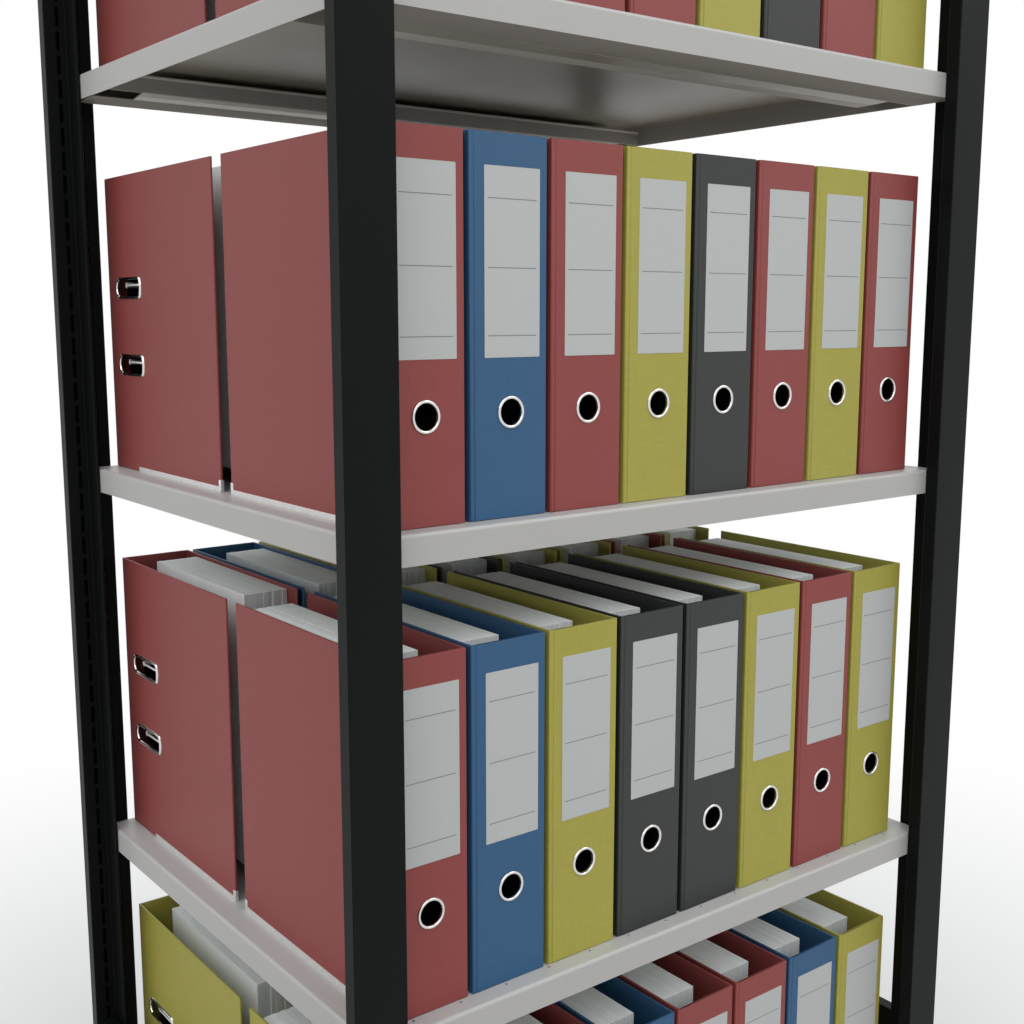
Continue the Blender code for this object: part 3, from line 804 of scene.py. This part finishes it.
post_low, post_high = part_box("upright_front_left")
post_width = post_high.x - post_low.x
post_depth = post_high.y - post_low.y
post_length = post_high.z - post_low.z
upright = prism([upright_section(post_width, post_depth), head_hollow(post_width)], post_length)
slot_outline = rounded_box((-SLOT_WIDTH / 2, 0), (SLOT_WIDTH / 2, SLOT_HEIGHT), SLOT_ROUND, 2)
slot_cutter = prism([slot_outline], 3 * POST_SHEET)
slot_cutter.transform(at(0, 1.5 * POST_SHEET, 0) @ TO_FRONT)
for side in (-1, 1):
    start = (side * (post_width / 2 - SLOT_INSET), HEAD_DEPTH - POST_SHEET / 2, FIRST_SLOT)
    upright = cut_line(upright, slot_cutter.copy(), SLOT_COUNT, start, (0, 0, SLOT_PITCH), BLACK_COAT)
shaded(upright, BLACK_COAT)

foot_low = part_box("foot_front_left")[0]
foot_thickness = post_low.z - foot_low.z - SEAT_GAP
foot = softened(prism([upright_section(post_width, post_depth, FOOT_RIM)], foot_thickness), FOOT_ROUND, 3)
shaded(foot, BLACK_PLASTIC)
for corner in CORNERS:
    low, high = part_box("upright_" + corner)
    at_front = corner.startswith("front")
    head_face = low.y if at_front else high.y
    place = at((low.x + high.x) / 2, head_face, low.z)
    place = place if at_front else place @ HALF_TURN
    piece("slotted_upright_" + corner, moved(upright, place), UNIT, "black_paint", "upright_" + corner)
    floor_place = at(0, 0, -low.z) @ place
    piece("foot_cap_" + corner, moved(foot, floor_place), UNIT, "black_plastic", "foot_" + corner)
print("upright:", len(upright.polygons), "faces,", 2 * SLOT_COUNT, "slots")

# %% [markdown]
# ## Side ties
# At each end, two channels join the front and rear uprights and keep the bay square. They are bent
# from sheet, so the outline of the channel has small inner and outer radii. Hexagon bolts with round
# washers hold them to the webs; the tree for places sets all of them at once.

# %% Side ties and bolts
TIE_SHEET = 0.0015
TIE_RADIUS = 0.0022
BOLT_FROM_END = 0.014
BOLT_ACROSS = 0.010
BOLT_HEAD = 0.0040
WASHER_RADIUS = 0.0080
WASHER_THICKNESS = 0.0014
WASHER_CHAMFER = 0.0004
BOLT_CHAMFER = 0.0006


def tie_section(flange, height):
    """A channel's outline, its flat back on X = 0."""
    inner = TIE_RADIUS - TIE_SHEET
    return rounded([
        (0, 0, TIE_RADIUS), (flange, 0, 0), (flange, TIE_SHEET, 0), (TIE_SHEET, TIE_SHEET, inner),
        (TIE_SHEET, height - TIE_SHEET, inner), (flange, height - TIE_SHEET, 0), (flange, height, 0),
        (0, height, TIE_RADIUS)])


def bolt_mesh():
    """A hexagon head on a washer, its seat on Z = 0 and its axis along Z."""
    washer = turned([
        (0.0, WASHER_THICKNESS), (WASHER_RADIUS - WASHER_CHAMFER, WASHER_THICKNESS),
        (WASHER_RADIUS, WASHER_THICKNESS - WASHER_CHAMFER), (WASHER_RADIUS, 0.0), (0.0, 0.0)], 20)
    reach = BOLT_ACROSS / math.sqrt(3)
    corners = [(reach * math.cos(k * math.pi / 3), reach * math.sin(k * math.pi / 3)) for k in range(6)]
    head = softened(prism([corners], BOLT_HEAD), BOLT_CHAMFER)
    return joined("bolt", [washer, moved(head, at(0, 0, WASHER_THICKNESS))])


bolt = bolt_mesh()
bolt_places = {"left": [], "right": []}
for side in ("left", "right"):
    for height in ("lower", "upper"):
        name = "side_tie_%s_%s" % (side, height)
        low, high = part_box(name)
        tie = prism([tie_section(high.x - low.x, high.z - low.z)], high.y - low.y)
        tie.transform(TO_FRONT)
        tie = shaded(softened(tie, EDGE_BREAK), BLACK_COAT)
        if side == "right":
            place = at(low.x, high.y, low.z)
        else:
            place = at(high.x, low.y, low.z) @ HALF_TURN
        piece("tie_channel_%s_%s" % (side, height), moved(tie, place), UNIT, "black_paint", name)
        seat = low.x + TIE_SHEET if side == "right" else high.x - TIE_SHEET
        for end in (low.y + BOLT_FROM_END, high.y - BOLT_FROM_END):
            bolt_places[side].append((seat, end, (low.z + high.z) / 2))
for side, direction in (("left", -1), ("right", 1)):
    facing = moved(bolt, Matrix.Rotation(direction * math.pi / 2, 4, "Y"))
    bolts = set_on_places(facing, bolt_places[side], 0.0, ZINC)
    piece("tie_bolts_" + side, shaded(bolts), UNIT, "zinc_steel")
print("ties: 4 channels with", sum(len(places) for places in bolt_places.values()), "bolts")

# %% [markdown]
# ## Shelves
# A shelf is one folded sheet. Its deck turns down into four faces, and along both long sides the
# sheet turns in again as a wide lip with a rib, ends in an upturned return and closes with a rolled
# hem. An open box with Bevel and Solidify gives the tray, and flat strips with rods give the lips.

# %% Shelves
SHELF_SHEET = 0.0012
SHELF_RADIUS = 0.0032
LIP_WIDTH = 0.101
LIP_RIB_FROM = 0.052
LIP_RIB_RADIUS = 0.0009
LIP_RISE = 0.0004
LIP_BEND = 0.0009
LIP_RETURN = 0.0170
LIP_HEM_RADIUS = 0.0018
LIP_HEM_FROM = 0.0795
LIP_END_GAP = 0.004
LIP_CUT_LENGTH = 0.047
LIP_CUT_SLANT = 0.008
HOLE_RADIUS = 0.0015
HOLE_DEPTH = 0.003
HOLE_PAST = 0.002
HOLE_PITCH = 0.050
HOLE_COUNT = 14
HOLE_FROM_FACE = 0.0166
NOTCH_HALF = 0.0023
NOTCH_REACH = 0.0337
NOTCH_HEIGHT = 0.0145
NOTCH_PAST = 0.001

shelf_low, shelf_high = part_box(SHELF_NODES[0])
shelf_length, shelf_depth, shelf_height = shelf_high - shelf_low
clip_low, clip_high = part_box("clip_level_1_front_right")
clip_x = (clip_low.x + clip_high.x) / 2
shelf_face = -shelf_depth / 2
lip_half = shelf_length / 2 - LIP_END_GAP


def shelf_tray():
    """The deck and its four faces, open below, the deck's top on Z = 0."""
    tray = block((-shelf_length / 2, shelf_face, -shelf_height), (shelf_length / 2, -shelf_face, 0))
    work = bmesh.new()
    work.from_mesh(tray)
    bottom = [face for face in work.faces if face.normal.z < FACING_DOWN]
    bmesh.ops.delete(work, geom=bottom, context="FACES_ONLY")
    return modified(closed_mesh(work, "tray"), ("BEVEL", {"width": SHELF_RADIUS, "segments": 5}),
                    ("SOLIDIFY", {"thickness": SHELF_SHEET, "offset": -1, "use_even_offset": True}))


def inner_strip(near, far):
    """The inner part of the front lip between two distances from the face, with slanted ends."""
    work = bmesh.new()
    rows = []
    for inward in (near, far):
        share = (inward - LIP_RIB_FROM) / (LIP_WIDTH - LIP_RIB_FROM)
        half = shelf_length / 2 - LIP_CUT_LENGTH + share * LIP_CUT_SLANT
        rows.append([work.verts.new((x, inward + shelf_face, -shelf_height)) for x in (-half, half)])
    work.faces.new((rows[0][0], rows[1][0], rows[1][1], rows[0][1]))
    return modified(closed_mesh(work, "strip"), ("SOLIDIFY", {"thickness": SHELF_SHEET, "offset": -1}))


def lip_rod(y, height, radius):
    """A rod along the front lip, at a height over the shelf's lower edge."""
    return rod([(x, y, height - shelf_height) for x in (-lip_half, lip_half)], radius)


def shelf_lip():
    """The inner part of the front lip (strip, rib and return) and its hems."""
    return_outline = rounded([
        (LIP_WIDTH - SHELF_SHEET, LIP_RISE, 0.0), (LIP_WIDTH, LIP_RISE, LIP_BEND),
        (LIP_WIDTH, LIP_RETURN, 0.0), (LIP_WIDTH - SHELF_SHEET, LIP_RETURN, 0.0)])
    upturned = prism([return_outline], 2 * lip_half)
    upturned.transform(at(-lip_half, shelf_face, -shelf_height) @ ALONG_X)
    rib = lip_rod(shelf_face + LIP_RIB_FROM, LIP_RISE, LIP_RIB_RADIUS)
    hem = lip_rod(shelf_face + LIP_WIDTH - SHELF_SHEET / 2, LIP_RETURN, LIP_HEM_RADIUS)
    hems = joined("hems", [inner_strip(LIP_HEM_FROM, LIP_WIDTH), hem])
    return joined("lip", [inner_strip(LIP_RIB_FROM, LIP_HEM_FROM), upturned, rib]), hems


def outer_strip():
    """The flat outer part of the front lip, which the spray hardly reaches."""
    strip = block((-lip_half, shelf_face + SHELF_SHEET / 2, -shelf_height),
                  (lip_half, shelf_face + LIP_RIB_FROM, SHELF_SHEET - shelf_height))
    return softened(strip, EDGE_BREAK)


def notched(mesh):
    """Notches for the two front clips."""
    notch = block((-NOTCH_HALF, shelf_face - NOTCH_PAST, -shelf_height - NOTCH_PAST),
                  (NOTCH_HALF, shelf_face + NOTCH_REACH, NOTCH_HEIGHT - shelf_height))
    return cut_line(mesh, notch, 2, (-clip_x, 0, 0), (2 * clip_x, 0, 0), GREY_COAT)


def shelf_mesh(lip):
    """A whole shelf: the tray, with holes and notches along both sides, and two lips."""
    tray = shelf_tray()
    hole = plug(HOLE_RADIUS, HOLE_PAST, -HOLE_DEPTH, 16)
    first_hole = -HOLE_PITCH * (HOLE_COUNT - 1) / 2
    for side in (-1, 1):
        start = (first_hole, side * (shelf_depth / 2 - HOLE_FROM_FACE), 0)
        tray = cut_line(tray, hole.copy(), HOLE_COUNT, start, (HOLE_PITCH, 0, 0), GREY_COAT)
        tray = moved(notched(tray), HALF_TURN)
    shelf = shaded(joined("shelf", [tray] + both_sides(lip)), GREY_COAT)
    # Faces that look down are marked for the coat's painted shade.
    under = shelf.attributes.new("under", "FLOAT", "FACE")
    under.data.foreach_set("value", [float(face.normal.z < FACING_DOWN) for face in shelf.polygons])
    return shelf


lip, hems = shelf_lip()
shelf = shelf_mesh(lip)
lip_strips = shaded(joined("lip_strips", both_sides(outer_strip())), THIN_COAT)
# The rolled hems and the lips' inner strips carry the painted highlight.
lip_hems = shaded(joined("lip_hems", both_sides(hems)), HEM_HIGHLIGHT_COAT)
for name in SHELF_NODES:
    place = at(0, 0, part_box(name)[1].z)
    piece("folded_" + name, moved(shelf, place), UNIT, "grey_paint", name)
    piece("lip_strips_" + name, moved(lip_strips, place), UNIT, "grey_paint")
    piece("lip_hems_" + name, moved(lip_hems, place), UNIT, "grey_paint")
for name, node in frame["nodes"].items():
    if name.startswith("clip_"):
        node.data.materials.clear()
        node.data.materials.append(ZINC)
print("shelf:", len(shelf.polygons), "faces,", 2 * HOLE_COUNT, "holes, on", len(SHELF_NODES), "levels")

# %% [markdown]
# ## One file: its case
# A lever-arch file is a board case: a spine, two covers and a round bead where the left cover is
# hinged to the spine. The plan of the case is drawn as one outline and pushed up. The finger hole
# and the two slots for the arches are cut next, and Bevel gives the board its worn, rounded rims.

# %% File case
case_low, case_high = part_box("file_case_1")
paper_low, paper_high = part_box("file_paper_1")
file_width, file_depth, file_height = case_high - case_low
FILE_HALF = file_width / 2
BEAD_WIDTH = 0.0038
BEAD_GROOVE = 0.0006
GROOVE_WIDTH = 0.0014
GROOVE_SLANT = 0.0004
BOARD = 0.0025
BOARD_ROUND = 0.0009
BOARD_INNER_ROUND = 0.0008
BOARD_SOFT = 0.0005
RING_X = 0.0020
RING_Z = 0.090
RING_HOLE_RADIUS = 0.0110
RING_CUT = (-0.002, 0.006)
RING_PLACE = at(RING_X, 0, RING_Z) @ TO_FRONT
ARCH_SLOT_NEAR = 0.0220
ARCH_SLOT_FAR = 0.0903
ARCH_SLOT_HALF = 0.012
ARCH_SLOT_HEIGHTS = (0.116, 0.199)
ARCH_SLOT_ROUND = 0.0118
ARCH_SLOT_CORNER = 0.005
ARCH_SLOT_BULGE = 0.0025
ARCH_SLOT_BELLY = 0.02
ARCH_SLOT_CUT_INSET = 0.001


def case_plan():
    """Plan of the case: spine on Y = 0, covers towards +Y, the bead at the left."""
    bead_right = -FILE_HALF + BEAD_WIDTH
    spine_left = bead_right + GROOVE_WIDTH
    inside = FILE_HALF - BOARD
    return rounded([
        (-FILE_HALF, 0.0, 0.0013), (bead_right, 0.0, 0.0010),
        (bead_right + GROOVE_SLANT, BEAD_GROOVE, 0.0002), (spine_left - GROOVE_SLANT, BEAD_GROOVE, 0.0002),
        (spine_left, 0.0, 0.0005), (FILE_HALF, 0.0, 0.0011),
        (FILE_HALF, file_depth, BOARD_ROUND), (inside, file_depth, BOARD_ROUND),
        (inside, BOARD, BOARD_INNER_ROUND), (-inside, BOARD, BOARD_INNER_ROUND),
        (-inside, file_depth, BOARD_ROUND), (-FILE_HALF, file_depth, BOARD_ROUND)], 3)


def arch_slot_outline(inset):
    """A slot for an arch in depth and height: round at its spine end, flat at the other."""
    near = ARCH_SLOT_NEAR + inset
    far = ARCH_SLOT_FAR - inset
    half = ARCH_SLOT_HALF - inset
    corner = ARCH_SLOT_CORNER - inset
    end = ARCH_SLOT_ROUND - inset
    return rounded([(near, -half, end), (far, -half, corner), (far + ARCH_SLOT_BULGE, 0, ARCH_SLOT_BELLY),
                    (far, half, corner), (near, half, end)], 5)


def case_mesh():
    """The case with its finger hole and its two slots."""
    case = prism([case_plan()], file_height)
    hole = plug(RING_HOLE_RADIUS, *RING_CUT, 28)
    hole.transform(Matrix.Rotation(-math.pi / 2, 4, "X"))
    case = cut_line(case, hole, 1, (RING_X, 0, RING_Z), (0, 0, 0), BOARDS["red"])
    opening = prism([arch_slot_outline(ARCH_SLOT_CUT_INSET)], 3 * BOARD)
    opening.transform(at(FILE_HALF - 2 * BOARD, 0, 0) @ ALONG_X)
    rise = ARCH_SLOT_HEIGHTS[1] - ARCH_SLOT_HEIGHTS[0]
    case = cut_line(case, opening, 2, (0, 0, ARCH_SLOT_HEIGHTS[0]), (0, 0, rise), BOARDS["red"])
    return shaded(softened(case, BOARD_SOFT))


file_case = case_mesh()
print("case:", len(file_case.polygons), "faces,", [round(size, 4) for size in (file_width, file_height)])

# %% [markdown]
# ## One file: label, ring and fittings
# The label is a thin card on the spine. The finger ring is a nickel eyelet, which is a turned
# profile, with a near-black well behind it; the well and a near-black plate behind the arch slots are
# painted shade for the dark inside of the file. Nickel rims line the arch slots, channels guard the
# covers' lower edges, and the lever arch itself stands on the left cover: a base plate, two posts with
# their arches and a lever. Round parts are rods along a path, as they are bent from wire.

# %% File label and fittings
LABEL_LEFT = -0.0255
LABEL_BOTTOM = 0.136
LABEL_PROUD = 0.0003
LABEL_CORNER = 0.0006
RING_OUTER = 0.0140
RING_PROUD = 0.0015
RING_SLEEVE = 0.0045
RING_WALL = 0.0004
WELL_GAP = 0.0001
WELL_TOP = 0.001
WELL_SIDE = 0.018
WELL_DEPTH = 0.020
WELL_CHAMFER = 0.002
RIM_RADIUS = 0.0016
GUARD_HEIGHT = 0.0049
GUARD_FROM = 0.066
GUARD_CLIP = 0.0115
GUARD_WALL = 0.0004
GUARD_PROUD = 0.0002
GUARD_CLIP_LENGTH = 0.0045
GUARD_CLIP_PAST = 0.0005
GUARD_SOFT = 0.0004
BACKING_DEPTH = 0.012
BACKING_SHEET = 0.001
BACKING_PAST = 0.006
BACKING_RISE = 0.018
POST_Y = 0.0475
ARCH_FAR_Y = 0.0890
ARCH_RISE = 0.003
ARCH_RADIUS = 0.0013
ARCH_SUNK = 0.0016
ARCH_BEND = 0.008
ARCH_JOIN = 0.003
POST_TIP = ((0.0014, -0.004), (0.0019, 0.0))
ARCH_POST_RADIUS = 0.0031
PLATE_NEAR = 0.016
PLATE_FAR = 0.041
PLATE_BELOW = 0.030
PLATE_ABOVE = 0.034
PLATE_ROUND = 0.004
PLATE_SHEET = 0.0012
PLATE_GAP = 0.0002
LEVER_Y = 0.022
LEVER_RADIUS = 0.0030
# The lever's points: inwards from the left cover, and up from the upper slot.
LEVER_PATH = ((0.002, -0.010), (0.006, 0.020), (0.011, 0.045), (0.012, 0.078))


def label_mesh():
    """A card with rounded corners and a UV map in metres."""
    card = prism([rounded_box((0, 0), (LABEL_WIDTH, LABEL_HEIGHT), LABEL_CORNER, 2)], 2 * LABEL_PROUD)
    uv = card.uv_layers.new(name="label")
    for loop in card.loops:
        uv.data[loop.index].uv = card.vertices[loop.vertex_index].co.xy
    card.transform(at(LABEL_LEFT, LABEL_PROUD, LABEL_BOTTOM) @ TO_FRONT)
    return card


def ring_mesh():
    """The eyelet: a half-round flange and a short sleeve through the board."""
    middle = (RING_OUTER + RING_HOLE_RADIUS) / 2
    half = (RING_OUTER - RING_HOLE_RADIUS) / 2
    turns = [k * math.pi / 8 for k in range(9)]
    arc = [(middle + half * math.cos(turn), RING_PROUD * math.sin(turn)) for turn in turns]
    sleeve = [(RING_HOLE_RADIUS, -RING_SLEEVE), (RING_HOLE_RADIUS + RING_WALL, -RING_SLEEVE)]
    ring = turned(arc + sleeve, 32)
    ring.transform(RING_PLACE)
    return ring


def well_mesh():
    """A near-black cup behind the finger hole and a near-black plate behind the arch slots: painted shade
    for the dark inside of the file.
    """
    radius = RING_HOLE_RADIUS - WELL_GAP
    cup = turned([(radius, -WELL_TOP), (radius, -WELL_SIDE), (radius - WELL_CHAMFER, -WELL_DEPTH),
                  (0.0, -WELL_DEPTH)], 24)
    cup.flip_normals()
    cup.transform(RING_PLACE)
    back = FILE_HALF - BOARD - BACKING_DEPTH
    low, high = ARCH_SLOT_HEIGHTS
    backing = block((back - BACKING_SHEET, ARCH_SLOT_NEAR - BACKING_PAST, low - BACKING_RISE),
                    (back, ARCH_SLOT_FAR + BACKING_PAST, high + BACKING_RISE))
    return joined("well", [cup, backing])


def slot_rim(height):
    """The rounded rim of one arch slot, on the right cover's outer face."""
    return rod([(FILE_HALF, y, height + z) for y, z in arch_slot_outline(RIM_RADIUS)], RIM_RADIUS, True)


def edge_guard(middle):
    """A channel under one cover, with an upright clip at its fore edge."""
    half = BOARD / 2 + GUARD_WALL
    wall = GUARD_WALL
    low = -GUARD_PROUD
    channel = prism([[(-half, low), (half, low), (half, GUARD_HEIGHT), (half - wall, GUARD_HEIGHT),
                      (half - wall, low + wall), (wall - half, low + wall), (wall - half, GUARD_HEIGHT),
                      (-half, GUARD_HEIGHT)]], file_depth - GUARD_FROM)
    channel.transform(at(middle, file_depth, 0) @ TO_FRONT)
    clip = block((middle - half - GUARD_PROUD, file_depth - GUARD_CLIP_LENGTH, low),
                 (middle + half + GUARD_PROUD, file_depth + GUARD_CLIP_PAST, GUARD_CLIP))
    return joined("guard", [channel, softened(clip, GUARD_SOFT)])


def lever_arch():
    """Base plate, two posts with open ends, two arches and the lever."""
    left_in = BOARD - FILE_HALF
    low, high = ARCH_SLOT_HEIGHTS
    plate_outline = rounded_box((PLATE_NEAR, low - PLATE_BELOW), (PLATE_FAR, high + PLATE_ABOVE),
                                PLATE_ROUND)
    plate = prism([plate_outline], PLATE_SHEET)
    plate.transform(at(left_in + PLATE_GAP, 0, 0) @ ALONG_X)
    made = [softened(plate, EDGE_BREAK)]
    top = FILE_HALF - ARCH_SUNK
    post = turned([*POST_TIP, (ARCH_POST_RADIUS, 0.0), (ARCH_POST_RADIUS, left_in - top)], 16)
    path = [(left_in, ARCH_FAR_Y)]
    for turn in [k * math.pi / 8 for k in range(5)]:
        path.append((top - ARCH_BEND + ARCH_BEND * math.sin(turn),
                     ARCH_FAR_Y - ARCH_BEND + ARCH_BEND * math.cos(turn)))
    path.append((top, POST_Y + ARCH_JOIN))
    for height in (low + ARCH_RISE, high + ARCH_RISE):
        made.append(moved(post, at(top, POST_Y, height) @ TO_RIGHT))
        made.append(rod([(x, y, height) for x, y in path], ARCH_RADIUS))
    lever = [(left_in + inward, LEVER_Y, high + rise) for inward, rise in LEVER_PATH]
    return joined("lever_arch", made + [rod(lever, LEVER_RADIUS)])


file_label = shaded(label_mesh(), LABEL_CARD)
file_well = shaded(well_mesh(), SHADE_LINING)
bright = [ring_mesh()] + [slot_rim(height) for height in ARCH_SLOT_HEIGHTS]
file_rims = shaded(joined("rims", bright), NICKEL)
satin = [lever_arch()] + [edge_guard(side * (FILE_HALF - BOARD / 2)) for side in (-1, 1)]
file_fittings = shaded(joined("fittings", satin), SATIN)
# What each file has besides its case and paper: name, mesh, material and slot.
FILE_DETAILS = (("label", file_label, LABEL_CARD, "paper"), ("rims", file_rims, NICKEL, "zinc_steel"),
                ("fittings", file_fittings, SATIN, "zinc_steel"),
                ("well", file_well, SHADE_LINING, "black_plastic"))
print("fittings:", len(file_rims.polygons) + len(file_fittings.polygons), "faces")

# %% [markdown]
# ## One file: its paper
# The paper in a file is never one clean block: it was filed in bundles, and each sits a little
# further in or lower than the next. The stacking tree shortens every bundle by a seeded amount.

# %% Paper bundles
BUNDLES = 9
BUNDLE_GAP = 0.00005
UNEVEN_DEPTH = 0.008
UNEVEN_HEIGHT = 0.0010
BUNDLE_SOFT = 0.0002
paper_size = paper_high - paper_low
paper_from = paper_low - case_low - Vector((FILE_HALF, 0, 0))
bundle_width = paper_size.x / BUNDLES


def bundle_mesh():
    """One bundle with slightly soft edges, its near lower corner at the origin."""
    bundle = block((0, 0, 0), (bundle_width - BUNDLE_GAP, paper_size.y, paper_size.z))
    return softened(bundle, BUNDLE_SOFT, 1)


def bundle_places(origin, turn):
    """Places of a file's bundles, for a file at an origin that is turned about Z."""
    spin = Matrix.Rotation(turn, 4, "Z")
    return [Vector(origin) + spin @ (paper_from + Vector((k * bundle_width, 0, 0))) for k in range(BUNDLES)]


def paper_mesh(places, turn, seed):
    """The paper of one or more files."""
    bundle = bench_object("bundle", bundle_mesh())
    made = run_tree(STACK_BUNDLES, points_mesh(places), {
        "Bundle": bundle, "Uneven Depth": UNEVEN_DEPTH, "Uneven Height": UNEVEN_HEIGHT, "Seed": seed,
        "Turn": (0.0, 0.0, turn), "Finish": PAPER})
    bpy.data.objects.remove(bundle, do_unlink=True)
    return shaded(made)


print("paper:", BUNDLES, "bundles of", round(bundle_width * 1000, 1), "mm")

# %% [markdown]
# ## The files that slide
# The eight files of the middle row each ride on their own body, so that one can be pulled out. Each gets
# a copy of the case in its colour, its label, fittings and well, and paper with a seed of its own.

# %% Sliding files
SLIDING_COLOURS = "red blue red yellow grey red yellow red".split()
for number, (body, colour) in enumerate(zip(SLIDING_BODIES, SLIDING_COLOURS), start=1):
    low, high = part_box("file_case_%d" % number)
    origin = Vector(((low.x + high.x) / 2, low.y, low.z))
    place = at(*origin)
    case = shaded(moved(file_case, place), BOARDS[colour])
    piece("%s_case" % body, case, body, "file_" + colour, "file_case_%d" % number)
    for detail, mesh, material, slot in FILE_DETAILS:
        piece("%s_%s" % (body, detail), moved(mesh, place), body, slot)
    stack = paper_mesh(bundle_places(origin, 0.0), 0.0, number)
    piece("%s_paper" % body, stack, body, "paper", "file_paper_%d" % number)
print("sliding files:", len(SLIDING_BODIES))

# %% [markdown]
# ## The other rows
# Each other row stays on the shelf, so its files are set on eight places by the tree. One mesh for
# each colour keeps one material to a piece. A rear row faces the other way, so its places are turned
# by half a turn.

# %% Rows of files
ROW_COLOURS = {
    "file_row_level_1_front": "yellow grey red blue red red blue yellow",
    "file_row_level_1_rear": "yellow red blue red grey yellow red blue",
    "file_row_level_2_front": "red blue yellow grey grey yellow red yellow",
    "file_row_level_2_rear": "red blue yellow grey yellow yellow red yellow",
    "file_row_level_3_rear": "red yellow grey red blue red yellow red",
    "file_row_level_4_front": "red blue red red yellow grey red yellow",
    "file_row_level_4_rear": "red grey yellow blue red red yellow red"}
FIRST_ROW_SEED = 20
file_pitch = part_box("file_case_2")[0].x - case_low.x
for number, node in enumerate(ROW_NODES, start=FIRST_ROW_SEED):
    low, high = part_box(node)
    rear = node.endswith("rear")
    turn = math.pi if rear else 0.0
    spine_y = high.y if rear else low.y
    colours = ROW_COLOURS[node].split()
    origins = [(low.x + FILE_HALF + k * file_pitch, spine_y, low.z) for k in range(len(colours))]
    row = node.replace("file_row_", "row_")
    for colour in sorted(set(colours)):
        places = [origin for origin, worn in zip(origins, colours) if worn == colour]
        cases = shaded(set_on_places(file_case.copy(), places, turn, BOARDS[colour]))
        stands_for = [node] if colour == min(colours) else []
        piece("%s_%s_cases" % (row, colour), cases, UNIT, "file_" + colour, *stands_for)
    for detail, mesh, material, slot in FILE_DETAILS:
        copies = shaded(set_on_places(mesh.copy(), origins, turn, material))
        piece("%s_%ss" % (row, detail.rstrip("s")), copies, UNIT, slot)
    places = [place for origin in origins for place in bundle_places(origin, turn)]
    piece(row + "_paper", paper_mesh(places, turn, number), UNIT, "paper")
print("rows:", len(ROW_NODES), "with", len(origins), "files each")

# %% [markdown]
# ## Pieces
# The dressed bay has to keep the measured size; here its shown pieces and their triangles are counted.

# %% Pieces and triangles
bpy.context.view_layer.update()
shown = [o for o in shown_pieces() if o.type == "MESH"]
print("pieces:", len(shown), "triangles:", sum(len(o.data.loop_triangles) for o in shown))
